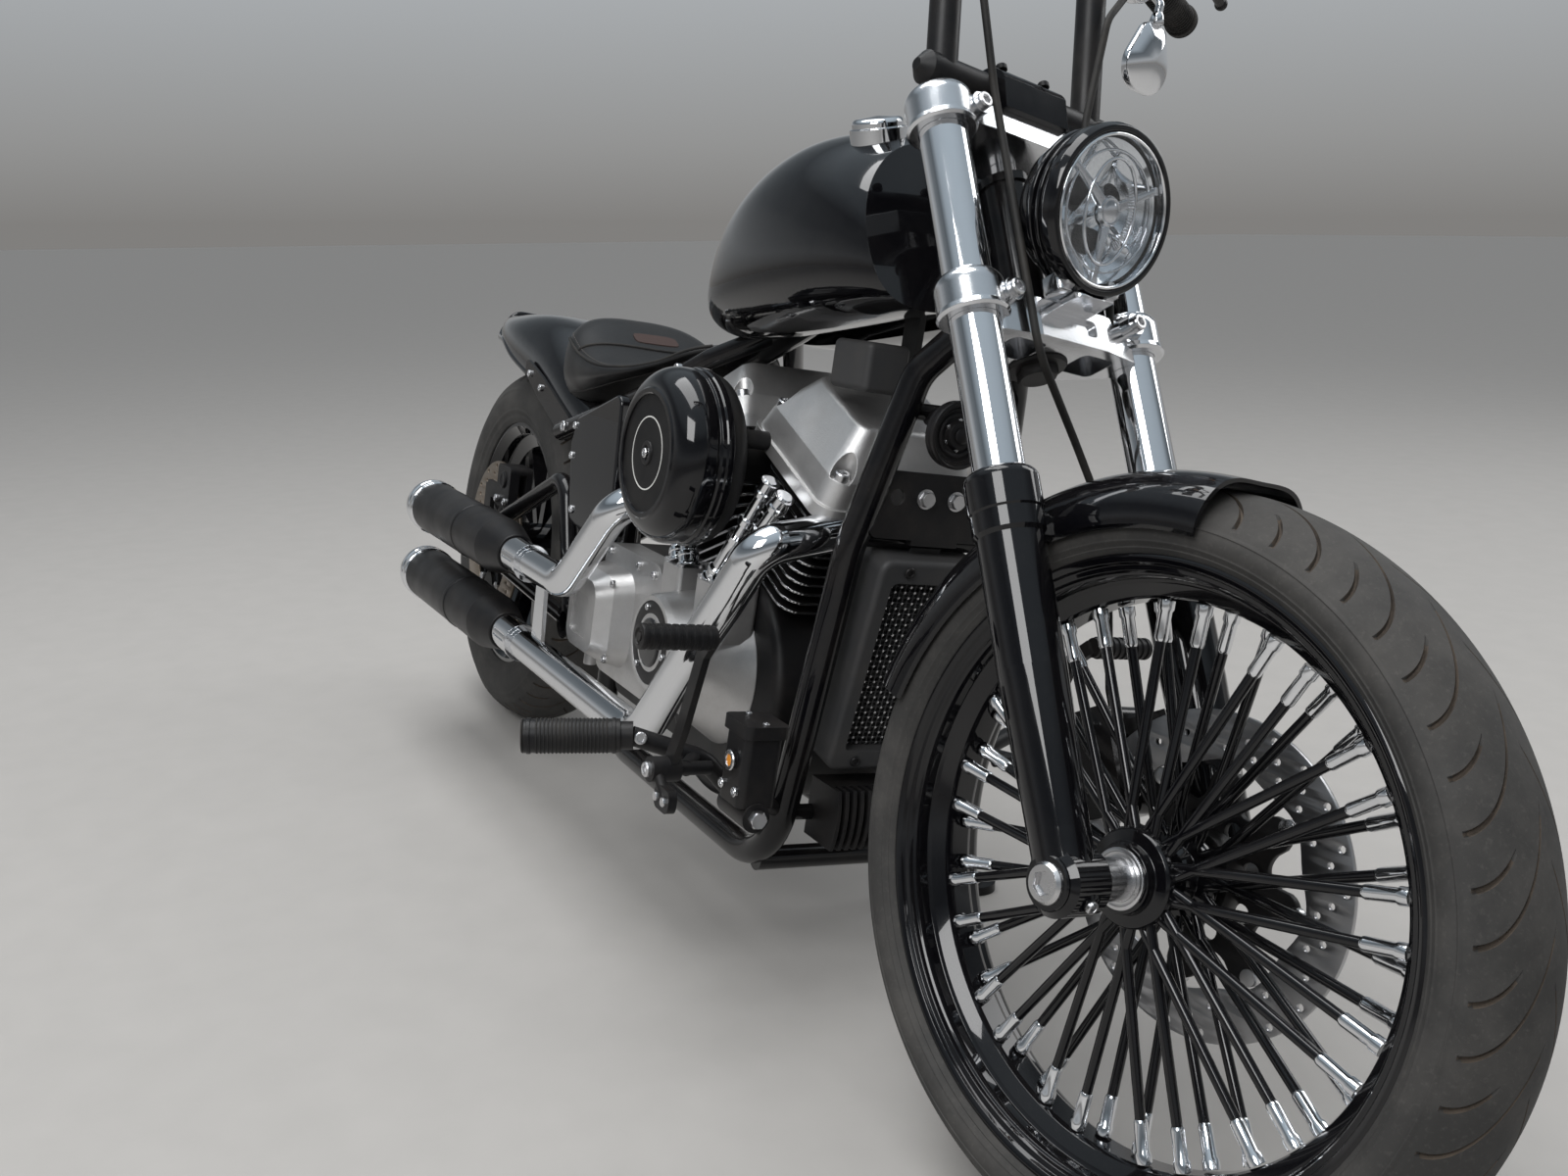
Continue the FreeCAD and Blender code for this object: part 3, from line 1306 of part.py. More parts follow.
def primaryCover():
    # a long oval cover with a rounded rim, a clutch cover and a small inspection cover standing out of it
    inner = s.pulleySide + s.pulleyWidth + 2
    rear = mid(-282, inner, 340)
    front = mid(0, inner, s.crankHeight)
    depth = s.primarySide - inner
    ends = [cylinderAt(point, left, s.primaryRadius, depth) for point in (front, rear)]
    middle = boxBetween(Vector(rear.x, inner, rear.z - s.primaryRadius + 2.5),
                        Vector(front.x, s.primarySide, front.z + s.primaryRadius - 2.5))
    shell = fused(ends + [middle])
    shell = shell.makeFillet(14, [edge for edge in shell.Edges if edge.BoundBox.YMin > s.primarySide - 1e-3])
    clutch = cylinderAt(Vector(rear.x, s.primarySide - 2, rear.z), left, 74, 9)
    clutch = clutch.makeFillet(4, [edge for edge in clutch.Edges if edge.BoundBox.YMin > s.primarySide + 6])
    look = cylinderAt(Vector(front.x - 20, s.primarySide - 2, front.z), left, 42, 7)
    mount = cylinderAt(mid(0, s.caseHalf, s.crankHeight), left, 92, inner - s.caseHalf)
    return fused([shell, clutch, look, mount]).cut(frame)


node("primary_cover", "chassis", shapeNode("PrimaryCover", primaryCover()))

airForward = s.crankForward + s.airAhead
airPlace = Placement(Vector(airForward, -s.airSide, s.airHeight), Rotation())
node("air_cleaner_cover", "chassis", turned("AirCover", [
    ("0", "3"),
    ("airFaceRadius - 5", "3"),
    ("airFaceRadius - 4", "0"),
    ("airFaceRadius", "0"),
    ("airFaceRadius + 2", "2"),
    ("airRadius", "36", "40", "left"),
    ("airRadius", "58"),
    ("airRadius + 1.5", "60"),
    ("airRadius + 1.5", "66"),
    ("0", "66"),
], place=airPlace))
airBase = [turned("AirBackplate", [
    ("0", "66 + seatGap"),
    ("airRadius - 3", "66 + seatGap"),
    ("airRadius - 3", "72"),
    ("airRadius - 12", "88", "18", "left"),
    ("24", "94"),
    ("24", "airSide - 40"),
    ("0", "airSide - 40"),
], place=airPlace)]
for index, side in enumerate((-1, 1)):
    boss = doc.addObject("Part::Cylinder", "AirBoss%d" % index)
    bind(boss, Radius="airBossRadius", Height="airSide - 76 - rockerHalfWide")
    boss.Placement = Placement(Vector(s.crankForward + side * 70, -s.rockerHalfWide, s.airHeight + 34), Rotation(up, -left))
    airBase.append(boss)
node("air_cleaner_base", "chassis", together("AirBase", "Part::MultiFuse", airBase))

# Exhaust


def pipeSleeve(height):
    # the rolled sleeve over a pipe's end, in front of its muffler
    start = Vector(s.mufflerFront + 2, -s.mufflerSide, height)
    sleeve = cylinderAt(start, forward, s.pipeRadius + 4, s.sleeveLength)
    rim = cylinderAt(start + forward * (s.sleeveLength - 8), forward, s.pipeRadius + 5.5, 8)
    slots = [boxBetween(start + Vector(8, -60, gap), start + Vector(s.sleeveLength - 14, -s.pipeRadius - 2, gap + 3))
             for gap in (7, -2, -11)]
    return fused([sleeve, rim]).cut(slots)


def frontPipe():
    points = [mid(198, -70, 560), mid(210, -178, 538), mid(14, -s.mufflerSide, s.lowerMufflerHeight + 1),
              Vector(s.mufflerFront + 1, -s.mufflerSide, s.lowerMufflerHeight)]
    return fused([tubeAlong(points, s.pipeRadius, [30, 60]), pipeSleeve(s.lowerMufflerHeight)])


def rearPipe():
    points = [mid(-165, -64, 552), mid(-160, -192, 520), mid(-295, -s.mufflerSide, s.upperMufflerHeight + 2),
              Vector(s.mufflerFront + 1, -s.mufflerSide, s.upperMufflerHeight)]
    return fused([tubeAlong(points, s.pipeRadius, [40, 60]), pipeSleeve(s.upperMufflerHeight)])


def pipeLink():
    # a flat strap that ties the two pipes just ahead of the sleeves
    start = s.mufflerFront + s.sleeveLength
    outline = [(start + 44, s.lowerMufflerHeight), (start + 88, s.lowerMufflerHeight),
               (start + 74, s.upperMufflerHeight), (start + 40, s.upperMufflerHeight)]
    strap = Part.Face(Part.makePolygon([Vector(x, -s.mufflerSide - 3, z) for x, z in outline + outline[:1]]))
    return strap.extrude(Vector(0, 6, 0))


heads = barrels + covers
exhaust = fused([frontPipe(), rearPipe(), pipeLink()]).cut(heads)
node("exhaust_pipes", "chassis", shapeNode("ExhaustPipes", exhaust))
mufflers = []
for name, height, fall in (("UpperMuffler", s.upperMufflerHeight, 9), ("LowerMuffler", s.lowerMufflerHeight, 9)):
    start = Vector(s.mufflerFront, -s.mufflerSide, height)
    aim = Placement(start, Rotation(left, Vector(s.mufflerLength, 0, fall)))
    mufflers.append(turned(name, [
        ("0", "0"),
        ("pipeRadius + 6", "0"),
        ("mufflerRadius - 4", "0 - 58"),
        ("mufflerRadius - 1", "0 - 74"),
        ("mufflerRadius - 1", "0 - mufflerLength * 0.42"),
        ("mufflerRadius", "0 - mufflerLength * 0.42 - 2"),
        ("mufflerRadius", "0 - mufflerLength + 34"),
        ("mufflerRadius + 2.5", "0 - mufflerLength + 33"),
        ("mufflerRadius + 2.5", "0 - mufflerLength + 22"),
        ("mufflerRadius + 0.5", "0 - mufflerLength + 20"),
        ("mufflerRadius + 0.5", "0 - mufflerLength + 16"),
        ("mufflerRadius + 2.5", "0 - mufflerLength + 14"),
        ("mufflerRadius + 2.5", "0 - mufflerLength + 3"),
        ("mufflerRadius - 1", "0 - mufflerLength"),
        ("mufflerRadius - 8", "0 - mufflerLength"),
        ("mufflerRadius - 8", "0 - mufflerLength + 60"),
        ("0", "0 - mufflerLength + 60"),
    ], place=aim))
node("mufflers", "chassis", together("Mufflers", "Part::Compound", mufflers))

# Smaller pieces on the chassis


def sideCover(side, outline):
    # a panel with soft corners and edge, on two spigots that reach in to the frame's rear post
    inner = s.armSide
    panel = Part.Face(Part.makePolygon([Vector(s.pivotForward + x, side * inner, z) for x, z in outline + outline[:1]]))
    panel = panel.extrude(Vector(0, side * 14, 0))
    panel = panel.makeFillet(16, [edge for edge in panel.Edges if edge.BoundBox.YLength > 10])
    outer = abs(inner + 14)
    panel = panel.makeFillet(4, [edge for edge in panel.Edges
                                 if edge.BoundBox.YLength < 1e-3 and abs(abs(edge.BoundBox.YMin) - outer) < 1e-3])
    spigots = [cylinderAt(Vector(s.pivotForward + x, side * s.postSide, z), left * side, 7, inner - s.postSide + 4)
               for x, z in ((0, 520), (6, 440))]
    return fused([panel] + spigots).cut(frame)


coverOutline = [(125, 656), (-35, 602), (-51, 560), (-25, 452), (35, 440), (139, 476)]
node("side_covers", "chassis", shapeNode("SideCovers", Part.makeCompound([
    sideCover(-1, coverOutline), sideCover(1, coverOutline)])))


def strutShape():
    # flat bar from the seat rail's end back along the fender's side
    outline = [(360, 588), (352, 548), (200, 604), (120, 640), (124, 664), (212, 640)]
    bar = Part.Face(Part.makePolygon([Vector(x, -112, z) for x, z in outline + outline[:1]]))
    bar = bar.extrude(Vector(0, 5, 0))
    bar = bar.makeFillet(9, [edge for edge in bar.Edges if edge.BoundBox.YLength > 4])
    return bar.cut([frame, fender])


strut = shapeNode("StrutRight", strutShape())
node("fender_struts", "chassis", bothSides("FenderStruts", strut))


def oilCooler():
    # a moulded shroud with a rounded rim round the finned core
    shroud = boxBetween(Vector(-22, -70, -130), Vector(30, 70, 130))
    shroud = shroud.makeFillet(16, [edge for edge in shroud.Edges if edge.BoundBox.XLength > 20])
    shroud = shroud.makeFillet(7, [edge for edge in shroud.Edges if edge.BoundBox.XMin > 29])
    window = boxBetween(Vector(0, -52, -104), Vector(40, 52, 104))
    window = window.makeFillet(8, [edge for edge in window.Edges if edge.BoundBox.XLength > 20])
    back = boxBetween(Vector(-30, -54, -112), Vector(-18, 54, 112))
    fins = [boxBetween(Vector(-2, -54, -98 + index * 14), Vector(12, 54, -96.5 + index * 14)) for index in range(15)]
    lug = boxBetween(Vector(-12, -20, 126), Vector(0, 20, 150))
    whole = shroud.cut([window, back]).fuse([lug] + fins)
    whole.Placement = Placement(mid(236, 0, 424), Rotation(left, 12))
    return whole.cut(frame)


cooler = oilCooler()
node("oil_cooler", "chassis", shapeNode("OilCooler", cooler))


def regulatorShape():
    # a cast box whose upright fins are trimmed to a bowed face
    low = s.railHeight + 42
    high = low + 70
    body = boxBetween(mid(200, -62, low), mid(240, 62, high))
    fins = [boxBetween(mid(238, -62 + 10 * n, low), mid(266, -57.5 + 10 * n, high)) for n in range(13)]
    bow = cylinderAt(mid(166, -70, low + 35), left, 100, 140)
    return body.fuse(fins).common(bow).cut([frame, engineCase])


node("voltage_regulator", "chassis", shapeNode("Regulator", regulatorShape()))


def hornShape():
    # a stepped round bell facing forward on a stalk from the upper cross tube
    bell = shapeOf(turned("HornBell", [
        ("0", "0 - 26"),
        ("hornRadius * 0.4", "0 - 26"),
        ("hornRadius * 0.62", "0 - 14"),
        ("hornRadius", "0 - 10"),
        ("hornRadius", "3"),
        ("hornRadius - 5", "3"),
        ("hornRadius - 7", "0 - 2"),
        ("hornRadius * 0.45", "0 - 2"),
        ("hornRadius * 0.4", "4"),
        ("0", "5"),
    ])).copy()
    bell.Placement = Placement(mid(338, -34, 688), Rotation(up, -90))
    stalk = cylinderAt(mid(281, -34, 700), forward, 9, 36)
    return bell.fuse(stalk).cut(frame)


node("horn", "chassis", shapeNode("Horn", hornShape()))


def hornBracket():
    # perforated plate bolted to the lower cross tube and the down tubes
    plate = boxBetween(mid(272, -86, 566), mid(277, 86, 640))
    plate = plate.makeFillet(12, [edge for edge in plate.Edges if edge.BoundBox.XLength > 4])
    holes = [cylinderAt(mid(265, y, 612), forward, 9, 30) for y in (-56, -20, 20, 56)]
    foot = boxBetween(mid(257, -30, 560), mid(277, 30, 571))
    return plate.cut(holes).fuse(foot).cut([frame, cooler])


node("horn_bracket", "chassis", shapeNode("HornBracket", hornBracket()))


def coilCover():
    box = boxBetween(mid(156, -92, 716), mid(234, -38, 770))
    box = box.makeFillet(7, box.Edges)
    arm = boxBetween(mid(170, -46, 740), mid(200, -4, 748))
    stem = boxBetween(mid(170, -12, 740), mid(200, -4, 852))
    return fused([box, arm, stem]).cut([frame, tank])


node("coil_cover", "chassis", shapeNode("CoilCover", coilCover()))


def footpeg():
    # a ribbed peg, its clamp, and the forged arm that bolts to the cradle and carries the pedal's pivot
    start = mid(146, -268, 306)
    end = mid(100, -378, 292)
    along = (end - start).normalize()
    length = (end - start).Length
    rubber = cylinderAt(start + along * 14, along, s.pegRadius, length - 14)
    collar = cylinderAt(start, along, s.pegRadius - 3, 14)
    rings = [cylinderAt(start + along * (length * share), along, s.pegRadius + 1.2, 4) for share in (0.16, 0.94)]
    arm = tubeAlong([start + along * 2, mid(170, -190, 286), mid(196, -s.railSide, s.railHeight + 38)], 11, 40)
    pivot = tubeAlong([mid(168, -200, 286), mid(202, -226, 286)], 9)
    axle = cylinderAt(mid(202, -196, 286), left * -1, 7.7, 76)
    return fused([rubber, collar, arm, pivot, axle] + rings).cut(frame)


pegs = footpeg()
node("footpegs", "chassis", shapeNode("Footpegs", Part.makeCompound([pegs, mirrored(pegs)])))


def pedalShape():
    # a flat curved arm from the pivot's hub up to a round rubber toe piece
    hub = cylinderAt(mid(202, -270, 286), left, 14, 34)
    heel = roundedSide(mid(214, -266, 250), mid(252, -256, 276), 10)
    points = [mid(202, -246, 290), mid(222, -246, 340), mid(252, -248, 430), mid(276, -252, 452)]
    across = points[1] - points[0]
    strip = Part.makePolygon([points[0] + left * a + across.cross(left).normalize() * b
                              for a, b in ((-4, -9), (4, -9), (4, 9), (-4, 9), (-4, -9))])
    arm = pathThrough(points, [60, 14]).makePipeShell([strip], True, False)
    toe = cylinderAt(mid(278, -252, 452), left * -1, 12, 80)
    rings = [cylinderAt(mid(278, -258 - 9 * n, 452), left * -1, 13.5, 4) for n in range(9)]
    tail = tubeAlong([mid(206, -262, 286), mid(232, -261, 264)], 6)
    bore = cylinderAt(mid(202, -300, 286), left, 8, 90)
    return fused([hub, arm, toe, heel, tail] + rings).cut([bore, pegs])


node("brake_pedal", "chassis", shapeNode("BrakePedal", pedalShape()))
node("shift_lever", "chassis", shapeNode("ShiftLever", mirrored(pedalShape())))


def masterCylinder():
    # a cast reservoir under a flanged cap, with a round sight glass on its side and the bore block below
    body = boxBetween(mid(256, -212, 276), mid(306, -168, 352))
    body = body.makeFillet(8, [edge for edge in body.Edges if edge.BoundBox.ZLength > 20])
    cap = boxBetween(mid(252, -216, 352), mid(310, -164, 366))
    cap = cap.makeFillet(9, [edge for edge in cap.Edges if edge.BoundBox.ZLength > 10])
    sight = cylinderAt(mid(281, -212, 322), left * -1, 10, 4)
    bore = cylinderAt(mid(246, -190, 266), forward, 16, 62)
    arm = tubeAlong([mid(265, -190, 276), mid(208, -s.railSide, 236)], 9)
    return fused([body, cap, sight, bore, arm]).cut([frame, pegs])


node("brake_master_cylinder", "chassis", shapeNode("MasterCylinder", masterCylinder()))


def rearCaliper():
    # straddles the disc, on a bracket that hangs from the axle
    near = s.rearDiscSide
    block = boxBetween(Vector(52, -near - 26, 400), Vector(122, -near + 14, 474))
    block = block.makeFillet(9, [edge for edge in block.Edges if edge.BoundBox.YLength > 20])
    upright = boxBetween(Vector(-10, -near - 26, s.rearTyreRadius), Vector(24, -near - 18, 430))
    foot = boxBetween(Vector(0, -near - 26, 408), Vector(60, -near - 18, 436))
    slot = boxBetween(Vector(-200, -near - s.discThickness - 4, 300), Vector(300, -near + 4, 462))
    bore = cylinderAt(Vector(0, -200, s.rearTyreRadius), left, s.axleRadius + s.seatGap, 120)
    return fused([block, upright, foot]).cut([slot, bore, swingarm])


swingarm = shapeNamed("swingarm")
node("rear_caliper", "chassis", shapeNode("RearCaliper", rearCaliper()))


def beltShape():
    # a toothed belt round the wheel's pulley and the gearbox pulley hidden behind the primary
    outerLoop = beltLoop(s.beltThickness + s.seatGap)
    innerLoop = beltLoop(s.seatGap)
    return Part.Face(outerLoop).cut(Part.Face(innerLoop)).extrude(Vector(0, s.beltWidth, 0))


def beltLoop(clearance):
    rear = Vector(0, s.pulleySide + 2, s.rearTyreRadius)
    front = beltFront()
    rearRadius = s.pulleyRadius + clearance
    frontRadius = s.smallPulleyRadius + clearance
    along = front - rear
    heading = math.degrees(math.atan2(along.z, along.x))
    spread = math.degrees(math.acos((rearRadius - frontRadius) / along.Length))
    top = heading + spread
    low = heading - spread
    rearTop = rear + polar(rearRadius, top)
    rearLow = rear + polar(rearRadius, low)
    frontTop = front + polar(frontRadius, top)
    frontLow = front + polar(frontRadius, low)
    return Part.Wire([
        Part.LineSegment(rearTop, frontTop).toShape(),
        Part.Arc(frontTop, front + polar(frontRadius, heading), frontLow).toShape(),
        Part.LineSegment(frontLow, rearLow).toShape(),
        Part.Arc(rearLow, rear + polar(rearRadius, heading + 180), rearTop).toShape()])


node("drive_belt", "chassis", shapeNode("DriveBelt", beltShape()))

# Side stand


def floorPoint(x, y):
    # the height in the upright bike's frame where (x, y) meets the floor
    down = standing.Rotation.inverted().multVec(up)
    base = standing.inverse().multVec(Vector(0, 0, 0))
    return base.z - ((x - base.x) * down.x + (y - base.y) * down.y) / down.z


standPivot = Vector(s.standPivotForward, s.standPivotSide, s.standPivotHeight)


def sideStand():
    footX = s.standPivotForward + 30
    footY = s.standPivotSide + s.standReach
    floorNormal = standing.Rotation.inverted().multVec(up)
    foot = Vector(footX, footY, floorPoint(footX, footY))
    pad = cylinderAt(foot, floorNormal, s.standFootRadius, 12)
    leg = tubeAlong([standPivot, foot + floorNormal * 10], s.standLegRadius)
    eye = cylinderAt(standPivot - standAxis() * 14, standAxis(), 20, 28)
    bore = cylinderAt(standPivot - standAxis() * 30, standAxis(), 8 + s.turnGap, 60)
    return fused([pad, leg, eye]).cut(bore)


def standAxis():
    return Vector(0.11, 0.61, 0.78).normalize()


def standBracket():
    # two ears and a web welded to the cradle, with the pin that the leg turns on
    axis = standAxis()
    inward = (axis * axis.y - left).normalize()
    shapes = [cylinderAt(standPivot - axis * 22, axis, 8, 44)]
    for offset in (14.3, -22.3):
        shapes.append(cylinderAt(standPivot + axis * offset, axis, 18, 8))
        plate = Part.makeBox(34, 30, 8, Vector(0, -15, 0))
        plate.Placement = Placement(standPivot + axis * offset, Rotation(inward, axis.cross(inward), axis, "ZXY"))
        shapes.append(plate)
    web = Part.makeBox(8, 30, 44.6, Vector(27, -15, -22.3))
    web.Placement = Placement(standPivot, Rotation(inward, axis.cross(inward), axis, "ZXY"))
    gusset = Part.makeBox(26, 12, 20, Vector(30, -6, -22.3))
    gusset.Placement = Placement(standPivot, Rotation(inward, axis.cross(inward), axis, "ZXY"))
    return fused(shapes + [web, gusset]).cut([frame, engineCase])


node("stand_bracket", "chassis", shapeNode("StandBracket", standBracket()))
places["sideStand"] = standing
node("side_stand", "sideStand", shapeNode("SideStand", sideStand()))

doc.recompute()
for thing, group, place in nodes:
    thing.Placement = places[group] * place

# The origin is under the middle of the parked bike's box

whole = Part.makeCompound([thing.Shape for thing, group, place in nodes])
box = whole.optimalBoundingBox(False, False)
shift = Vector(-box.Center.x, -box.Center.y, 0)
for thing, group, place in nodes:
    thing.Placement = Placement(shift, Rotation()) * thing.Placement
doc.recompute()

for thing in doc.Objects:
    if "Invalid" in thing.State or "Error" in thing.State:
        raise RuntimeError(thing.Name + " failed to build")
os.makedirs("parts", exist_ok=True)
for thing, group, place in nodes:
    shape = thing.Shape
    if shape.isNull() or not shape.isValid():
        raise RuntimeError(thing.Label + " has no valid shape")
    shape.exportStep("parts/%s.step" % thing.Label)
    print(thing.Label, group, len(shape.Solids), round(shape.Volume))
print("box", box)
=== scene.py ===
import bmesh
import bpy
import json
import math
import numpy as np
from mathutils import Matrix
from mathutils.geometry import tessellate_polygon


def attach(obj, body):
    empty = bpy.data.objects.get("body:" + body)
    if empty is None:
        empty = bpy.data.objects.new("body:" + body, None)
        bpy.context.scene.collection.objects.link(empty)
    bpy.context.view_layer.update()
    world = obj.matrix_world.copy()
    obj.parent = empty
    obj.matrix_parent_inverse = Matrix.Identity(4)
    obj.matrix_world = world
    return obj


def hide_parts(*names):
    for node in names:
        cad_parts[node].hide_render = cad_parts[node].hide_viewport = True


# A chopper motorcycle's looks: dressed pieces that stand for CAD nodes or sit on them, and the finishes

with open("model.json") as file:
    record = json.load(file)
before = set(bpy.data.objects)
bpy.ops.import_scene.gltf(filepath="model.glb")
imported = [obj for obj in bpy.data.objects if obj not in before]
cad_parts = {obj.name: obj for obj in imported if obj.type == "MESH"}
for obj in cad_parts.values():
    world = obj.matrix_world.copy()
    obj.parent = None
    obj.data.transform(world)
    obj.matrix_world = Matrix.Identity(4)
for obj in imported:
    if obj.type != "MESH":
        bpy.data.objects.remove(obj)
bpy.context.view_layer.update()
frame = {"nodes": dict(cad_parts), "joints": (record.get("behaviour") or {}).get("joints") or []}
nodes = frame["nodes"]
joints = {joint["name"]: joint for joint in frame["joints"]}
print("frame loaded:", len(nodes), "nodes")

# Lengths below are millimetres in each group's own frame; the group's matrix turns them into metres.

stance = {"rake": 30.0, "rearRadius": 323.0, "millimetre": 0.001}


def unit(vector):
    vector = np.asarray(vector, float)
    return vector / np.linalg.norm(vector, axis=-1, keepdims=True)


def fullTurn(count):
    return np.linspace(0, 2 * math.pi, count, endpoint=False)


def groupMatrix(ahead, side, above, origin):
    matrix = np.eye(4)
    matrix[:3, :3] = np.stack([ahead, side, above], 1) * stance["millimetre"]
    matrix[:3, 3] = origin
    return matrix


def rideFrames():
    # the joints' axes give the lean, the pitch and the steering that the bike is parked with
    forkUp = unit(joints["steering_turn"]["axis"])
    rearSide = unit(joints["rear_wheel_spin"]["axis"])
    frontSide = unit(joints["front_wheel_spin"]["axis"])
    rake = math.radians(stance["rake"])
    frames = {}
    for name, side in (("bike", rearSide), ("front", frontSide)):
        ahead = np.cross(side, forkUp)
        level = math.cos(rake) * ahead - math.sin(rake) * forkUp
        plumb = math.sin(rake) * ahead + math.cos(rake) * forkUp
        frames[name] = (level, side, plumb)
    rearAxle = np.array(joints["rear_wheel_spin"]["pos_m"])
    frontAxle = np.array(joints["front_wheel_spin"]["pos_m"])
    floorPoint = rearAxle - frames["bike"][2] * stance["rearRadius"] * stance["millimetre"]
    return {
        "bike": groupMatrix(*frames["bike"], floorPoint),
        "rearWheel": groupMatrix(*frames["bike"], rearAxle),
        "frontWheel": groupMatrix(*frames["front"], frontAxle),
        "fork": groupMatrix(np.cross(frontSide, forkUp), frontSide, forkUp, frontAxle),
    }


frames = rideFrames()

# Shapes: points, quads, triangles and a UV for each quad's corners, all as whole arrays


def sheetQuads(rows, columns, closeRows=False):
    # the corners' numbers of each quad of a tube of rows, with the quads' row and column numbers
    row = np.arange(rows if closeRows else rows - 1)[:, None]
    column = np.arange(columns)[None, :]
    nextRow, nextColumn = (row + 1) % rows, (column + 1) % columns
    quads = np.stack([row * columns + column, nextRow * columns + column, nextRow * columns + nextColumn,
                      row * columns + nextColumn], -1).reshape(-1, 4)
    return quads, row, column


def gridShape(points, closeRows=False, caps=True):
    # a tube of rows x columns points, its rows closed in a ring or a fan to the middle of each open end
    points = np.asarray(points, float)
    rows, columns = points.shape[:2]
    quads, row, column = sheetQuads(rows, columns, closeRows)
    u = np.stack(np.broadcast_arrays(column, column, column + 1, column + 1), -1) / columns
    v = np.stack(np.broadcast_arrays(row, row + 1, row + 1, row), -1) / max(rows - 1, 1)
    u, v = np.broadcast_arrays(u, v)
    flat = points.reshape(-1, 3)
    triangles = np.zeros((0, 3), int)
    if caps and not closeRows:
        middle = np.stack([points[0].mean(0), points[-1].mean(0)])
        around = np.arange(columns)
        after = (around + 1) % columns
        last = (rows - 1) * columns
        start = np.full(columns, len(flat))
        triangles = np.concatenate([np.stack([around, after, start], 1),
                                    np.stack([after + last, around + last, start + 1], 1)])
        flat = np.concatenate([flat, middle])
    return outward({"points": flat, "quads": quads, "triangles": triangles,
                    "uv": np.stack([u, v], -1).reshape(-1, 4, 2)})


def outward(shape):
    # a closed shape with a negative volume is inside out, so its faces are turned round
    points = shape["points"]
    quads = shape["quads"]
    faces = np.concatenate([quads[:, [0, 1, 2]], quads[:, [0, 2, 3]], shape["triangles"]])
    a, b, c = (points[faces[:, i]] for i in range(3))
    if np.einsum("ij,ij->i", a, np.cross(b, c)).sum() < 0:
        shape["quads"] = quads[:, ::-1]
        shape["uv"] = shape["uv"][:, ::-1]
        shape["triangles"] = shape["triangles"][:, ::-1]
    return shape


def joined(*shapes):
    shapes = [item for shape in shapes for item in (shape if isinstance(shape, list) else [shape])]
    offsets = np.cumsum([0] + [len(shape["points"]) for shape in shapes])
    whole = {key: np.concatenate([shape[key] for shape in shapes]) for key in ("points", "uv")}
    for key in ("quads", "triangles"):
        whole[key] = np.concatenate([shape[key] + offset for shape, offset in zip(shapes, offsets)])
    return whole


def moved(shape, matrix):
    # points times the matrix, with the faces turned round if it mirrors
    points = shape["points"] @ matrix[:3, :3].T + matrix[:3, 3]
    return outward(dict(shape, points=points))


def copies(shape, matrices):
    return joined([moved(shape, matrix) for matrix in matrices])


def shiftBy(x, y, z):
    matrix = np.eye(4)
    matrix[:3, 3] = (x, y, z)
    return matrix


def turnBy(degrees, axis):
    return np.array(Matrix.Rotation(math.radians(degrees), 4, axis))


def aimed(base, direction, hint=(0, 0, 1)):
    # a frame at base whose Z runs along direction and whose X lies toward the hint
    along = unit(direction)
    hint = np.asarray(hint, float)
    if abs(along @ unit(hint)) > 0.98:
        hint = np.array((1.0, 0.0, 0.0)) if abs(along[0]) < 0.9 else np.array((0.0, 1.0, 0.0))
    first = unit(hint - along * (hint @ along))
    matrix = np.eye(4)
    matrix[:3, :3] = np.stack([first, np.cross(along, first), along], 1)
    matrix[:3, 3] = base
    return matrix


mirrorSide = np.diag((1.0, -1.0, 1.0, 1.0))


def bothSides(shape):
    return joined(shape, moved(shape, mirrorSide))


def rounded(points, radius, steps=5, close=False):
    # each corner becomes a circular arc: the rational curve from one tangent point to the other
    points = np.asarray(points, float)
    if close:
        points = np.concatenate([points[-1:], points, points[:1]])
    radii = np.broadcast_to(radius, len(points) - 2)
    t = np.linspace(0, 1, steps + 1)[:, None]
    line = [] if close else [points[:1]]
    for before, corner, after, size in zip(points, points[1:], points[2:], radii):
        lengths = np.linalg.norm(before - corner), np.linalg.norm(after - corner)
        back, ahead = (before - corner) / lengths[0], (after - corner) / lengths[1]
        half = (math.pi - math.acos(np.clip(back @ ahead, -1, 1))) / 2
        if half < 1e-3 or size <= 0:
            line.append(corner[None])
            continue
        reach = min(size * math.tan(half), 0.49 * min(lengths))
        weight = math.cos(half)
        blend = (1 - t) ** 2 + 2 * weight * t * (1 - t) + t ** 2
        line.append(((1 - t) ** 2 * (corner + back * reach) + 2 * weight * t * (1 - t) * corner
                     + t ** 2 * (corner + ahead * reach)) / blend)
    if not close:
        line.append(points[-1:])
    return np.concatenate(line)


def turned(profile, sides=64, bevel=0.0, steps=4, closed=False):
    # a profile of (radius, height) swept round Z: x = r cos a, y = r sin a
    profile = rounded(profile, bevel, steps, close=closed) if bevel else np.asarray(profile, float)
    angle = fullTurn(sides)
    radius = profile[:, :1]
    points = np.stack(np.broadcast_arrays(radius * np.cos(angle), radius * np.sin(angle), profile[:, 1:]), -1)
    return gridShape(points, closeRows=closed)


def alongPath(path, section):
    # section holds the rings' own (across, upward) offsets, one ring or one for each station of the path
    path = np.asarray(path, float)
    tangent = unit(np.gradient(path, axis=0))
    flattest = np.linalg.svd(path - path.mean(0))[2][-1]
    if np.abs(tangent @ flattest).max() > 0.95:
        flattest = np.linalg.svd(path - path.mean(0))[2][1]
    across = unit(np.cross(tangent, flattest))
    above = np.cross(across, tangent)
    section = np.broadcast_to(section, (len(path),) + np.shape(section)[-2:])
    points = path[:, None] + section[..., :1] * across[:, None] + section[..., 1:] * above[:, None]
    return gridShape(points)


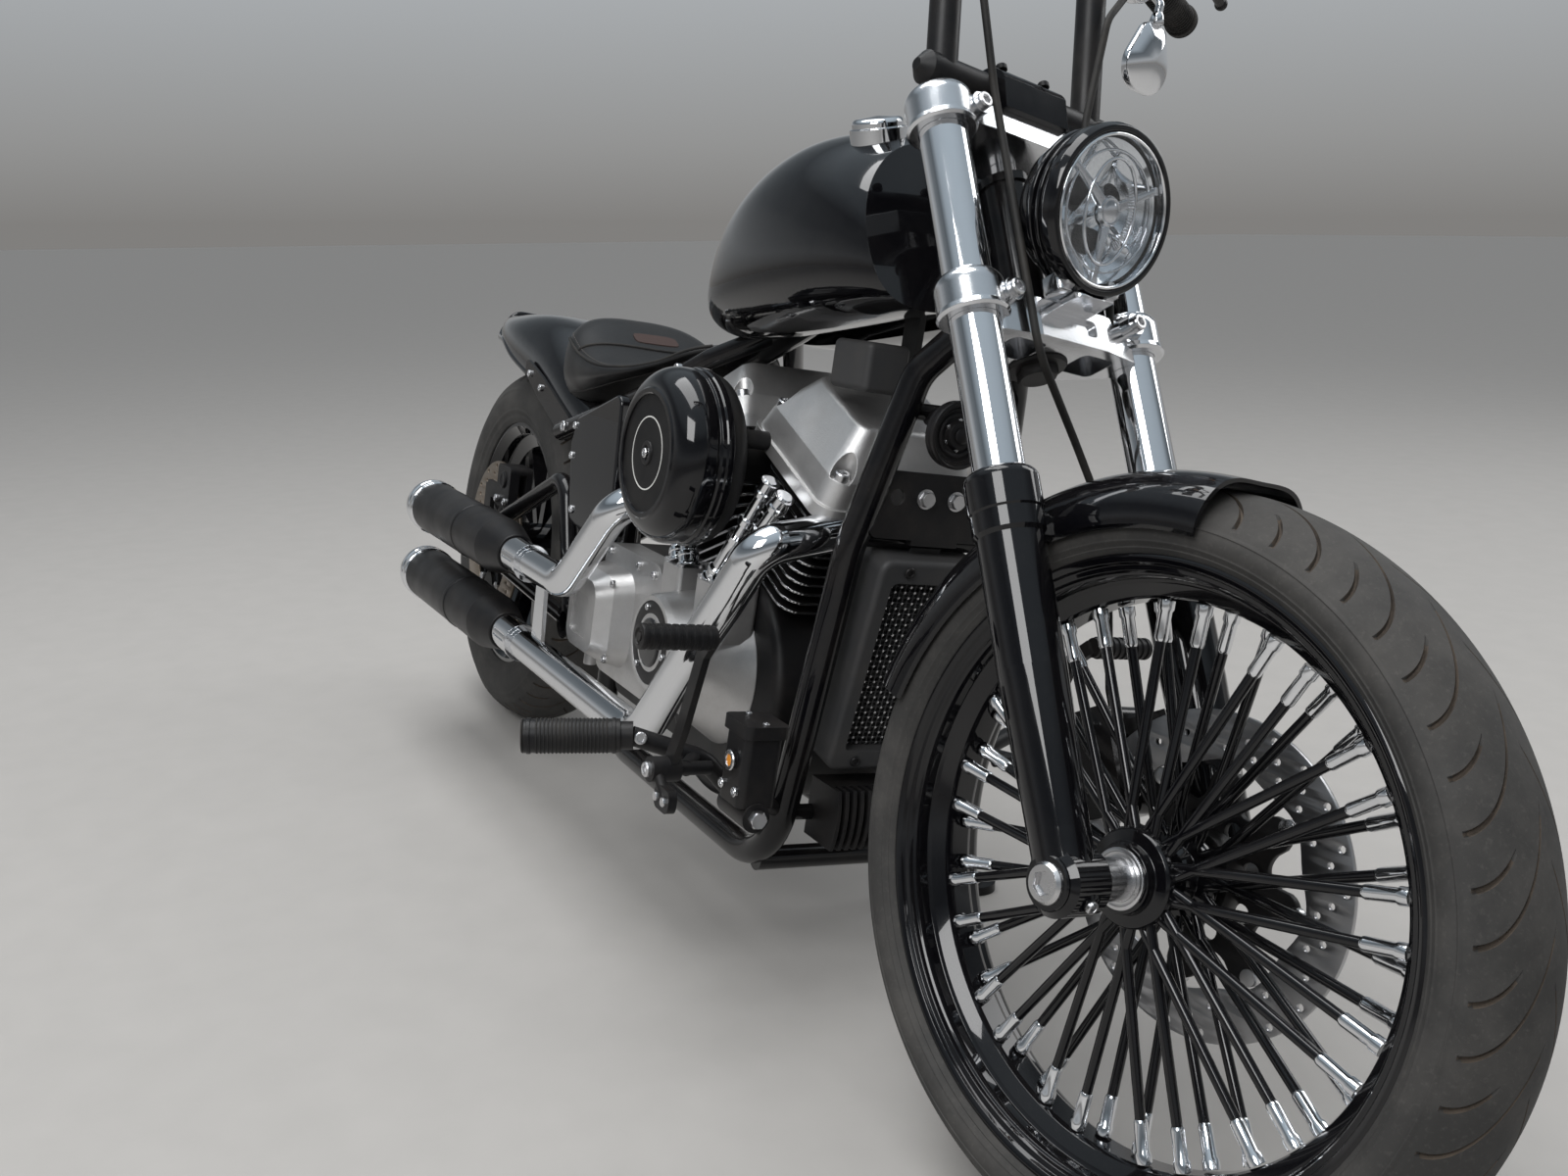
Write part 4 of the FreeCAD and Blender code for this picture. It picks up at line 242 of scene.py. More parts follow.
def circle(radius, sides=20):
    angle = fullTurn(sides)
    ring = np.stack([np.cos(angle), np.sin(angle)], -1)
    return np.asarray(radius, float)[..., None, None] * ring


def pipe(points, radius, bend=0.0, sides=20, steps=10):
    # a round section of the given radius carried along straight runs and arcs
    path = rounded(points, bend, steps) if len(points) > 2 else np.asarray(points, float)
    return alongPath(path, circle(np.full(len(path), float(radius)), sides))


def windingOf(outline):
    after = np.roll(outline, -1, 0)
    return (outline[:, 0] * after[:, 1] - outline[:, 1] * after[:, 0]).sum()


def outlineOffset(outline, inset):
    # every point of a closed outline moves in along the mean of its two edges' normals
    before = unit(outline - np.roll(outline, 1, 0))
    after = unit(np.roll(outline, -1, 0) - outline)
    tangent = unit(before + after)
    normal = np.stack([-tangent[:, 1], tangent[:, 0]], -1)
    return outline + normal * inset * np.sign(windingOf(outline))


def slab(outline, low, high, edge=0.0, holes=()):
    # an outline in x and y carried from low to high in z, its rims eased by a quarter round, with round holes
    eased = [edge, edge * 0.3, 0.0] if edge else [0.0]
    levels = [(low + up, inset) for up, inset in zip(eased[::-1], eased)]
    levels += [(high - up, inset) for up, inset in zip(eased, eased[::-1])]
    points, quads, first, last = [], [], [], []
    offset = 0
    for loop, sign in [(outline, 1)] + [(hole, -1) for hole in holes]:
        loop = np.asarray(loop, float)
        rings = [np.column_stack([outlineOffset(loop, inset * sign), np.full(len(loop), height)])
                 for height, inset in levels]
        grid = sheetQuads(len(rings), len(loop))[0][:, [0, 3, 2, 1]]
        if (windingOf(rings[0][:, :2]) < 0) != (sign < 0):
            grid = grid[:, ::-1]
        points += rings
        quads.append(grid + offset)
        first.append(offset + np.arange(len(loop)))
        offset += len(rings) * len(loop)
        last.append(offset - len(loop) + np.arange(len(loop)))
    points = np.concatenate(points)
    triangles = []
    for rims, wanted in ((first, -1), (last, 1)):
        index = np.concatenate(rims)
        filled = index[np.array(tessellate_polygon([points[rim].tolist() for rim in rims]))]
        a, b, c = (points[filled[:, i]] for i in range(3))
        turn = np.cross(b - a, c - a)[:, 2]
        filled[turn * wanted < 0] = filled[turn * wanted < 0][:, ::-1]
        triangles.append(filled)
    quads = np.concatenate(quads)
    return {"points": points, "quads": quads, "triangles": np.concatenate(triangles),
            "uv": np.zeros((len(quads), 4, 2))}


def ringHole(x, y, radius, sides=16):
    return circle(radius, sides) + (x, y)


def roundedBox(low, high, corner, edge=1.5):
    # a box whose upright edges are arcs and whose rims are eased
    (x0, y0, z0), (x1, y1, z1) = low, high
    outline = rounded([(x0, y0), (x1, y0), (x1, y1), (x0, y1)], corner, 5, close=True)
    return slab(outline, z0, z1, edge)


headSides = 24


def hexagon(share):
    # a hexagon's radius at each angle of a head
    return share / np.cos((fullTurn(headSides) + math.pi / 6) % (math.pi / 3) - math.pi / 6)


def headShape(radius, rings):
    # rings are pairs of a share of the radius and a height
    x, y = radius * np.cos(fullTurn(headSides)), radius * np.sin(fullTurn(headSides))
    return gridShape([np.stack([share * x, share * y, np.full(headSides, level)], -1)
                      for share, level in rings])


def socketScrew(radius, height):
    # a round head with a six-sided recess
    recess = hexagon(0.5)
    return headShape(radius, [(1, 0), (1, height - 0.18 * radius), (0.86, height), (recess * 1.08, height),
                              (recess, height - 0.1 * radius), (recess, height * 0.45)])


def hexNut(radius, height):
    return headShape(radius, [(hexagon(0.87), 0), (hexagon(0.87), height * 0.85), (0.86, height)])


rightWay, leftWay, frontWay, upWay = (0, -1, 0), (0, 1, 0), (1, 0, 0), (0, 0, 1)
faceAhead = aimed((0, 0, 0), frontWay, upWay)


def placed(shape, way, places):
    return copies(shape, [aimed(place, way) for place in places])


def screwsAt(radius, height, way, places):
    return placed(socketScrew(radius, height), way, places)


def turnedAt(place, way, profile, sides, **looks):
    return moved(turned(profile, sides, **looks), aimed(place, way))


def ringOf(profile, sides, bevel=0.5, steps=2):
    return turned(profile, sides, bevel, steps, closed=True)


sharpAngle = 35.0
mergeDistance = 0.000004


def closeUp(mesh):
    # merges the doubled points of poles and of sheets cut in two
    work = bmesh.new()
    work.from_mesh(mesh)
    bmesh.ops.remove_doubles(work, verts=work.verts, dist=mergeDistance)
    work.to_mesh(mesh)
    work.free()
    mesh.validate()


def makePiece(name, parts, place, body, replaces=()):
    # parts is a list of (shape, material); the place is a group's matrix
    whole = joined([shape for shape, _ in parts])
    whole["points"] = whole["points"] @ place[:3, :3].T + place[:3, 3]
    mesh = bpy.data.meshes.new(name)
    mesh.from_pydata(whole["points"].tolist(), [], whole["quads"].tolist() + whole["triangles"].tolist())
    for _, material in parts:
        mesh.materials.append(material)
    chosen = [np.full(len(shape[kind]), index) for kind in ("quads", "triangles")
              for index, (shape, _) in enumerate(parts)]
    mesh.polygons.foreach_set("material_index", np.concatenate(chosen).astype(np.int32))
    uv = np.zeros((len(mesh.loops), 2), np.float32)
    uv[:len(whole["uv"]) * 4] = whole["uv"].reshape(-1, 2)
    mesh.uv_layers.new(name="surface").data.foreach_set("uv", uv.ravel())
    mesh.update(calc_edges=True)
    closeUp(mesh)
    mesh.shade_smooth()
    mesh.set_sharp_from_angle(angle=math.radians(sharpAngle))
    piece = bpy.data.objects.new(name, mesh)
    bpy.context.scene.collection.objects.link(piece)
    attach(piece, body)
    if replaces:
        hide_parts(*replaces)
    return piece


def chassisPiece(name, parts, replaces=()):
    return makePiece(name, parts, frames["bike"], "chassis", replaces)


def forkPiece(name, parts, replaces=()):
    return makePiece(name, parts, frames["fork"], "steering", replaces)


# Shader groups: each puts out colours, masks or heights for the materials to use


def newGroup(name, inputs, outputs):
    group = bpy.data.node_groups.new(name, "ShaderNodeTree")
    for title, value in inputs:
        socket = group.interface.new_socket(title, in_out="INPUT", socket_type="NodeSocketFloat")
        socket.default_value = value
    for title in outputs:
        group.interface.new_socket(title, in_out="OUTPUT", socket_type="NodeSocketFloat")
    return group, group.nodes.new("NodeGroupInput"), group.nodes.new("NodeGroupOutput")


def addNode(tree, kind, links=(), **values):
    # links are (input name or number, socket or constant); values are the node's own settings
    made = tree.nodes.new(kind)
    for name, value in values.items():
        setattr(made, name, value)
    for name, source in links:
        if isinstance(source, (int, float, tuple)):
            made.inputs[name].default_value = source
        else:
            tree.links.new(source, made.inputs[name])
    return made


def mathNode(tree, operation, first, second=0.0, clamp=False):
    return addNode(tree, "ShaderNodeMath", [(0, first), (1, second)], operation=operation,
                   use_clamp=clamp).outputs[0]


def noise(tree, place, scale, detail, roughness=0.5):
    return addNode(tree, "ShaderNodeTexNoise", [("Vector", place), ("Scale", scale), ("Detail", detail),
                                                ("Roughness", roughness)]).outputs["Fac"]


def spread(tree, value, low, high, start=0.0, stop=1.0):
    return addNode(tree, "ShaderNodeMapRange", [("Value", value), ("From Min", low), ("From Max", high),
                                                ("To Min", start), ("To Max", stop)]).outputs[0]


def mixed(tree, share, first, second):
    return addNode(tree, "ShaderNodeMix", [(0, share), (6, first), (7, second)], data_type="RGBA").outputs[2]


def dustGroup():
    # noise at two scales, stronger on faces that look up, as settled dust and dried spots
    group, inside, outside = newGroup("Dust", [("Scale", 12.0), ("Amount", 0.3), ("Settled", 0.5)],
                                      ["Mask", "Height"])
    place = addNode(group, "ShaderNodeTexCoord").outputs["Object"]
    broad = noise(group, place, inside.outputs["Scale"], 6.0, 0.65)
    fine = noise(group, place, mathNode(group, "MULTIPLY", inside.outputs["Scale"], 22.0), 3.0, 0.7)
    facing = addNode(group, "ShaderNodeSeparateXYZ",
                     [(0, addNode(group, "ShaderNodeNewGeometry").outputs["Normal"])])
    upward = mathNode(group, "MULTIPLY", mathNode(group, "MAXIMUM", facing.outputs[2], 0.0),
                      inside.outputs["Settled"])
    specks = mathNode(group, "MULTIPLY", spread(group, fine, 0.55, 0.8), 0.7)
    base = mathNode(group, "ADD", spread(group, broad, 0.42, 0.75), specks)
    base = mathNode(group, "ADD", base, upward)
    mask = mathNode(group, "MULTIPLY", base, inside.outputs["Amount"], clamp=True)
    group.links.new(mask, outside.inputs["Mask"])
    group.links.new(fine, outside.inputs["Height"])
    return group


def grainGroup():
    # cast or moulded grain: a fine noise with a broad unevenness under it
    group, inside, outside = newGroup("Grain", [("Scale", 300.0), ("Unevenness", 0.3)], ["Height", "Patch"])
    place = addNode(group, "ShaderNodeTexCoord").outputs["Object"]
    fine = noise(group, place, inside.outputs["Scale"], 4.0, 0.6)
    broad = noise(group, place, 14.0, 3.0)
    height = mathNode(group, "ADD", fine, mathNode(group, "MULTIPLY", broad, inside.outputs["Unevenness"]))
    group.links.new(height, outside.inputs["Height"])
    group.links.new(broad, outside.inputs["Patch"])
    return group


def turningGroup():
    # fine circles left by a lathe: noise stretched along the surface map's first direction
    group, inside, outside = newGroup("Turning", [("Rings", 90.0), ("Sweep", 3.0)], ["Height"])
    place = addNode(group, "ShaderNodeTexCoord").outputs["UV"]
    scales = addNode(group, "ShaderNodeCombineXYZ",
                     [(0, inside.outputs["Sweep"]), (1, inside.outputs["Rings"])])
    stretched = addNode(group, "ShaderNodeVectorMath", [(0, place), (1, scales.outputs[0])],
                        operation="MULTIPLY")
    group.links.new(noise(group, stretched.outputs[0], 4.0, 4.0, 0.7), outside.inputs["Height"])
    return group


dust = dustGroup()
grain = grainGroup()
turning = turningGroup()


roadDust = (0.16, 0.135, 0.11)
plainGrain = (60.0, 0.3)
dustyRoughness = 0.85


def finish(name, colour, roughness, metallic=0.0, coat=0.0, coatRoughness=0.03, roughSpread=0.0,
           dustLook=None, dustColour=roadDust, grainLook=None, turningLook=None, patchColour=None,
           specular=0.5, edge=0.0):
    # dustLook is (scale, amount, settled); grainLook is (scale, unevenness, height); turningLook is (rings,
    # sweep, height); patchColour is the second colour of the broad patches; edge is the radius in metres that
    # sharp edges are shaded with
    material = bpy.data.materials.new(name)
    material.use_nodes = True
    tree = material.node_tree
    shader = tree.nodes["Principled BSDF"]
    plain = (*colour, 1.0)
    for title, value in (("Base Color", plain), ("Roughness", roughness), ("Metallic", metallic),
                         ("Coat Weight", coat), ("Coat Roughness", coatRoughness),
                         ("Specular IOR Level", specular)):
        shader.inputs[title].default_value = value
    colourSocket = None
    roughSocket = None
    heights = []
    scale, unevenness = (grainLook or plainGrain)[:2]
    grained = addNode(tree, "ShaderNodeGroup", [("Scale", scale), ("Unevenness", unevenness)],
                      node_tree=grain)
    varied = grained.outputs["Patch"]
    if grainLook:
        heights.append((grained.outputs["Height"], grainLook[2]))
    if patchColour:
        colourSocket = mixed(tree, varied, plain, (*patchColour, 1.0))
    if turningLook:
        rings, sweep, height = turningLook
        lathe = addNode(tree, "ShaderNodeGroup", [("Rings", rings), ("Sweep", sweep)], node_tree=turning)
        varied = lathe.outputs["Height"]
        heights.append((varied, height))
    if roughSpread:
        roughSocket = spread(tree, varied, 0.3, 0.7, max(roughness - roughSpread, 0.0),
                             roughness + roughSpread)
    if dustLook:
        dusty = addNode(tree, "ShaderNodeGroup", zip(("Scale", "Amount", "Settled"), dustLook),
                        node_tree=dust)
        mask = dusty.outputs["Mask"]
        colourSocket = mixed(tree, mask, colourSocket or plain, (*dustColour, 1.0))
        roughSocket = addNode(tree, "ShaderNodeMix", [(0, mask), (2, roughSocket or roughness),
                                                      (3, dustyRoughness)]).outputs[0]
    if colourSocket:
        tree.links.new(colourSocket, shader.inputs["Base Color"])
    if roughSocket:
        tree.links.new(roughSocket, shader.inputs["Roughness"])
    normal = addNode(tree, "ShaderNodeBevel", [("Radius", edge)], samples=4).outputs[0] if edge else None
    for source, height in heights:
        bump = addNode(tree, "ShaderNodeBump", [("Height", source), ("Strength", 1.0), ("Distance", height)])
        if normal:
            tree.links.new(normal, bump.inputs["Normal"])
        normal = bump.outputs[0]
    if normal:
        tree.links.new(normal, shader.inputs["Normal"])
    return material


glossBlack = finish("glossBlackPaint", (0.002, 0.002, 0.003), 0.09, coat=0.75, coatRoughness=0.02,
                    roughSpread=0.04, specular=0.1, dustLook=(9.0, 0.035, 0.6), dustColour=(0.12, 0.11, 0.1),
                    grainLook=(260.0, 0.4, 0.00001), edge=0.0012)
frameBlack = finish("frameBlackPaint", (0.003, 0.003, 0.004), 0.18, coat=0.4, coatRoughness=0.06,
                    roughSpread=0.06, specular=0.15, dustLook=(14.0, 0.06, 0.4),
                    grainLook=(300.0, 0.4, 0.00002), edge=0.001)
satinBlack = finish("satinBlackCoat", (0.006, 0.006, 0.007), 0.42, roughSpread=0.08, specular=0.28,
                    dustLook=(18.0, 0.07, 0.3), grainLook=(900.0, 0.2, 0.00003), edge=0.001)
mattBlack = finish("mattBlackPlastic", (0.008, 0.008, 0.0085), 0.55, roughSpread=0.1, specular=0.22,
                   dustLook=(16.0, 0.05, 0.3), grainLook=(700.0, 0.3, 0.00008), edge=0.0012)
greyPlastic = finish("greyPlastic", (0.034, 0.035, 0.037), 0.55, roughSpread=0.1, specular=0.35,
                     dustLook=(16.0, 0.1, 0.4), grainLook=(800.0, 0.3, 0.00006), edge=0.0015)
chromePlate = finish("chromePlate", (0.78, 0.79, 0.81), 0.045, metallic=1.0, roughSpread=0.03,
                     dustLook=(20.0, 0.04, 0.3), edge=0.0007)
polishedAlloy = finish("polishedAlloy", (0.72, 0.73, 0.75), 0.14, metallic=1.0, roughSpread=0.06,
                       dustLook=(18.0, 0.08, 0.3), grainLook=(420.0, 0.4, 0.00004), edge=0.0012)
castAlloy = finish("castAlloy", (0.5, 0.5, 0.505), 0.36, metallic=0.85, roughSpread=0.1,
                   patchColour=(0.62, 0.61, 0.6), dustLook=(22.0, 0.2, 0.3), dustColour=(0.2, 0.18, 0.16),
                   grainLook=(650.0, 0.6, 0.00022), edge=0.0015)
boltSteel = finish("boltSteel", (0.62, 0.62, 0.63), 0.26, metallic=1.0, roughSpread=0.1,
                   dustLook=(30.0, 0.12, 0.3), edge=0.0004)
discSteel = finish("discSteel", (0.46, 0.46, 0.47), 0.3, metallic=1.0, roughSpread=0.1,
                   turningLook=(260.0, 2.0, 0.00004), dustLook=(20.0, 0.08, 0.2))
wornSteel = finish("wornSteel", (0.3, 0.25, 0.2), 0.36, metallic=1.0, roughSpread=0.1,
                   turningLook=(240.0, 2.0, 0.00004), dustLook=(20.0, 0.12, 0.2))
tyreBlack = finish("tyreRubber", (0.024, 0.0236, 0.0232), 0.74, roughSpread=0.08,
                   patchColour=(0.038, 0.037, 0.0355), specular=0.35, dustLook=(11.0, 0.3, 0.2),
                   dustColour=(0.14, 0.132, 0.122), grainLook=(520.0, 0.5, 0.0001))
grooveBrown = finish("tyreGroove", (0.035, 0.028, 0.022), 0.9, dustLook=(26.0, 0.5, 0.2),
                     dustColour=(0.16, 0.125, 0.095), grainLook=(500.0, 0.5, 0.0001))
gripRubber = finish("gripRubber", (0.011, 0.011, 0.011), 0.66, roughSpread=0.08, specular=0.3,
                    dustLook=(24.0, 0.12, 0.3), grainLook=(900.0, 0.3, 0.00005))
mirrorSilver = finish("mirrorSilver", (0.86, 0.87, 0.88), 0.09, metallic=1.0, roughSpread=0.02)
seatLeather = finish("seatLeather", (0.0075, 0.0075, 0.008), 0.42, roughSpread=0.1,
                     patchColour=(0.011, 0.0108, 0.011), dustLook=(10.0, 0.03, 0.2),
                     grainLook=(330.0, 0.5, 0.00035), specular=0.35)
insetBrown = finish("insetBrown", (0.035, 0.016, 0.012), 0.6, roughSpread=0.1, grainLook=(300.0, 0.5, 0.0003))
threadGrey = finish("threadGrey", (0.09, 0.085, 0.08), 0.8, grainLook=(900.0, 0.3, 0.00004))
paleLine = finish("paleLine", (0.6, 0.6, 0.58), 0.5, grainLook=(600.0, 0.3, 0.00001))
amberGlass = finish("amberGlass", (0.75, 0.28, 0.03), 0.12, coat=1.0, grainLook=(200.0, 0.3, 0.00002))


pane = {"tint": (0.96, 0.97, 0.98, 1.0), "haze": (0.5, 0.5, 0.5, 1.0), "smear": 0.06, "power": 4.0,
        "grazing": 0.8, "straight": 0.04}


def clearFinish(name, roughness):
    # see-through, with a mirror sheen of 4 per cent that grows with the fourth power toward grazing angles
    material = bpy.data.materials.new(name)
    material.use_nodes = True
    tree = material.node_tree
    tree.nodes.remove(tree.nodes["Principled BSDF"])
    smear = addNode(tree, "ShaderNodeGroup", [("Amount", pane["smear"])], node_tree=dust).outputs["Mask"]
    through = addNode(tree, "ShaderNodeBsdfTransparent", [("Color", pane["tint"])])
    sheen = addNode(tree, "ShaderNodeBsdfGlossy", [("Roughness", roughness)])
    haze = addNode(tree, "ShaderNodeBsdfDiffuse", [("Color", pane["haze"])])
    facing = addNode(tree, "ShaderNodeLayerWeight", [("Blend", 0.5)]).outputs["Facing"]
    share = mathNode(tree, "MULTIPLY", mathNode(tree, "POWER", facing, pane["power"]), pane["grazing"])
    share = mathNode(tree, "ADD", share, pane["straight"])
    whole = through
    for amount, layer in ((share, sheen), (smear, haze)):
        whole = addNode(tree, "ShaderNodeMixShader",
                        [(0, amount), (1, whole.outputs[0]), (2, layer.outputs[0])])
    tree.links.new(whole.outputs[0], tree.nodes["Material Output"].inputs["Surface"])
    return material


clearGlass = clearFinish("clearGlass", 0.02)
print("finishes made")

# Wheels, in a frame with Y along the axle; an angle of 0 points forward and 90 up

frontTyre = {"radius": 344.5, "crown": 78.0, "treadHalf": 60.0, "half": 65.0, "rim": 281.0, "rimHalf": 52.0,
             "pitches": 26, "grooveWidth": 5.2, "grooveDepth": 4.2, "sweep": 17.0, "shortEnd": 0.56}
rearTyre = {"radius": 323.0, "crown": 90.0, "treadHalf": 66.0, "half": 75.0, "rim": 220.0, "rimHalf": 62.0,
            "pitches": 24, "grooveWidth": 5.6, "grooveDepth": 4.6, "sweep": 15.0, "shortEnd": 0.5}
treadRows = 45
landColumns = 4
# windows over the distance from the middle, 1 at the tread's edge, and the power that the sweep fades with
treadFade = {"edge": (0.95, 1.0), "middle": (0.02, 0.07), "short": 0.06, "sweep": 1.7, "floor": 0.3}
# places are shares of the way from the shoulder to the rim; rings are (place, half width, height in mm)
wallLook = {"start": 0.06, "rows": 30, "widest": 0.4, "pull": 0.92,
            "rings": ((0.2, 0.035, 0.9), (0.72, 0.03, 0.8)), "bead": (0.86, 1.2)}
toAxle = aimed((0, 0, 0), leftWay, frontWay)


def smoothStep(low, high, value):
    # 3 s squared less 2 s cubed, with s the share of the way from low to high
    share = np.clip((value - low) / (high - low), 0, 1)
    return share * share * (3 - 2 * share)


def treadColumns(tyre):
    # the angles of one pitch: a groove's two walls and floor, plain land, the half-pitch groove, plain land
    pitch = 360 / tyre["pitches"]
    half = math.degrees(tyre["grooveWidth"] / 2 / tyre["radius"])
    groove = np.array([-1.0, -0.5, 0.5, 1.0]) * half
    land = np.linspace(half, pitch / 2 - half, landColumns + 2)[1:-1]
    angles = np.concatenate([groove, land, groove + pitch / 2, land + pitch / 2])
    flat = np.zeros(landColumns)
    deep = np.array([0.0, 1.0, 1.0, 0.0])
    main = np.concatenate([deep, flat, deep * 0, flat])
    halfway = np.concatenate([deep * 0, flat, deep, flat])
    turns = np.arange(tyre["pitches"])[:, None] * pitch
    return (turns + angles).ravel(), np.tile(main, tyre["pitches"]), np.tile(halfway, tyre["pitches"])


def tyreShapes(tyre):
    # across the tread each row is a circle of the crown's radius; the grooves' angle sweeps on toward the
    # middle, and their depth is the columns' pattern times a window over the row's distance from the middle
    across = np.linspace(-1, 1, treadRows)
    side = across * tyre["treadHalf"]
    centre = tyre["radius"] - tyre["crown"]
    radius = centre + np.sqrt(tyre["crown"] ** 2 - side ** 2)
    angles, main, halfway = treadColumns(tyre)
    off = np.abs(across)[:, None]
    edge = 1 - smoothStep(*treadFade["edge"], off)
    long = smoothStep(*treadFade["middle"], off) * edge
    short = smoothStep(tyre["shortEnd"], tyre["shortEnd"] + treadFade["short"], off) * edge
    onRight = across[:, None] < 0
    depth = np.where(onRight, main * long + halfway * short, halfway * long + main * short)
    cut = depth * tyre["grooveDepth"]
    outX = (radius - centre)[:, None] / tyre["crown"]
    outY = side[:, None] / tyre["crown"]
    swept = np.radians(angles + tyre["sweep"] * (1 - off) ** treadFade["sweep"])
    treadRadius = radius[:, None] - cut * outX
    treadSide = side[:, None] - cut * outY
    wall = sidewall(tyre)[:, :, None] + np.zeros(len(angles))
    wallAngle = np.tile(np.radians(angles), (len(wall), 1))
    allRadius = np.concatenate([wall[::-1, 0], treadRadius, wall[:, 0]])
    allSide = np.concatenate([-wall[::-1, 1], treadSide, wall[:, 1]])
    allAngle = np.concatenate([wallAngle, swept, wallAngle])
    shape = gridShape(np.stack([allRadius * np.cos(allAngle), allSide, allRadius * np.sin(allAngle)], -1),
                      closeRows=True)
    depths = np.concatenate([wallAngle * 0, cut, wallAngle * 0]).ravel()
    inGroove = depths[shape["quads"]].mean(1) > tyre["grooveDepth"] * treadFade["floor"]
    return splitBy(shape, inGroove)


def splitBy(shape, chosen):
    # one shape of the quads that aren't chosen, and one of those that are
    none = np.zeros((0, 3), int)
    return (dict(shape, quads=shape["quads"][~chosen], uv=shape["uv"][~chosen]),
            dict(shape, quads=shape["quads"][chosen], uv=shape["uv"][chosen], triangles=none))


def sidewall(tyre):
    # from the shoulder out to the widest line and in to the rim, with two raised rings and a stepped bead
    shoulder = tyre["radius"] - tyre["crown"] + math.sqrt(tyre["crown"] ** 2 - tyre["treadHalf"] ** 2)
    height = shoulder - tyre["rim"]
    bulge = tyre["half"] - tyre["treadHalf"]
    narrow = tyre["half"] - tyre["rimHalf"]
    share = np.linspace(wallLook["start"], 1.0, wallLook["rows"])
    widest = wallLook["widest"]
    side = tyre["treadHalf"] + bulge * np.sin(np.minimum(share / widest, 1) * math.pi / 2)
    side = side - narrow * wallLook["pull"] * np.maximum((share - widest) / (1 - widest), 0) ** 2
    beadStart, beadHeight = wallLook["bead"]
    raised = beadHeight * (share > beadStart)
    for place, half, ringHeight in wallLook["rings"]:
        raised = raised + ringHeight * (np.abs(share - place) < half)
    wall = np.column_stack([shoulder - share * height, side + raised])
    inner = np.array([(tyre["rim"] - 3, tyre["rimHalf"] - 9), (tyre["rim"] + height * 0.6, tyre["half"] - 14),
                      (shoulder - 6, tyre["treadHalf"] - 16), (tyre["radius"] - 12, 8)])
    return np.concatenate([wall, inner])


for name, tyre, body, node in (("front_tyre_dressed", frontTyre, "front_wheel", "front_tyre"),
                               ("rear_tyre_dressed", rearTyre, "rear_wheel", "rear_tyre")):
    plain, grooves = tyreShapes(tyre)
    place = frames["frontWheel" if body == "front_wheel" else "rearWheel"]
    makePiece(name, [(plain, tyreBlack), (grooves, grooveBrown)], place, body, [node])
print("tyres made")

spoked = {"pairs": 26, "spread": 9.0, "spoke": 4.8, "base": 36.0, "baseSide": 26.0, "tip": 243.5,
          "tipSide": 8.0, "nipple": 36.0, "nippleRadius": 6.2}


def aroundAxle(radius, degrees, side):
    # a point at an angle on a circle about the axle
    angle = math.radians(degrees)
    return np.array([radius * math.cos(angle), side, radius * math.sin(angle)])


def spokeLines():
    # each pair leans forward and back from its place on the flange; pairs alternate between the flanges
    step = 360 / spoked["pairs"]
    for pair in range(spoked["pairs"]):
        side = 1 if pair % 2 else -1
        for lean in (-spoked["spread"], spoked["spread"]):
            yield (aroundAxle(spoked["base"], pair * step - lean, side * spoked["baseSide"]),
                   aroundAxle(spoked["tip"], pair * step + lean, side * spoked["tipSide"]))


def wheelSpokes():
    # a tapered stem and a stepped nipple, each turned once and copied to every spoke's line
    lines = list(spokeLines())
    length = np.linalg.norm(lines[0][1] - lines[0][0])
    thick = spoked["spoke"]
    stem = turned([(thick * 0.7, 0), (thick, 14), (thick, length - spoked["nipple"])], 14)
    nippleStart = length - spoked["nipple"]
    wide = spoked["nippleRadius"]
    nipple = turned([(thick + 0.2, nippleStart - 1), (wide - 0.6, nippleStart), (wide, nippleStart + 2),
                     (wide, length - 10), (wide + 1.4, length - 8), (wide + 1.4, length)], 16)
    places = [aimed(base, tip - base) for base, tip in lines]
    return copies(stem, places), copies(nipple, places)


def frontRim():
    # a closed section turned about the axle: drop centre, bead seats and a stepped, rolled outer lip
    half = [(252, 0), (252, 15), (269, 25), (269, 44.5), (281, 45.5), (283.5, 48), (283.5, 53), (278, 55.5),
            (273.5, 53), (271.5, 49), (267, 48), (265, 44), (263, 42.5), (261.5, 38), (261.5, 28),
            (257.5, 26), (247, 17), (245, 12), (245, 0)]
    right = [(radius, -side) for radius, side in half]
    section = half + right[::-1][1:-1]
    return moved(turned(section, 240, bevel=1.6, steps=3, closed=True), toAxle)


def frontHub():
    # a profile turned about the axle: a waisted barrel between two flanges
    body = [(13, -46), (30, -46), (31.5, -42), (31.5, -37), (42, -35.5), (44, -33), (44, -27), (41, -25),
            (30, -22), (26, -12), (26, 12), (30, 22), (41, 25), (44, 27), (44, 33), (42, 35.5), (31.5, 37),
            (31.5, 42), (30, 46), (13, 46)]
    return moved(turned(body, 96, bevel=1.5, steps=3), toAxle)


def bearingRings():
    # a stepped ring turned about the axle at each end of the hub
    rings = []
    for side in (-1, 1):
        ring = [(14, 45 * side), (27, 45.5 * side), (27, 47.5 * side), (24, 48.5 * side), (23, 47 * side),
                (20, 47 * side), (19.5, 48.5 * side), (14, 48.5 * side)]
        rings.append(moved(turned(ring, 72, bevel=0.4, steps=2, closed=True), toAxle))
    return joined(rings)


spokes, nipples = wheelSpokes()
makePiece("front_rim_dressed", [(frontRim(), glossBlack)], frames["frontWheel"], "front_wheel",
          ["front_rim"])
makePiece("front_hub_dressed", [(frontHub(), glossBlack), (spokes, glossBlack), (nipples, chromePlate),
                                (bearingRings(), boltSteel)],
          frames["frontWheel"], "front_wheel", ["front_hub_spokes"])
print("spoked wheel made")

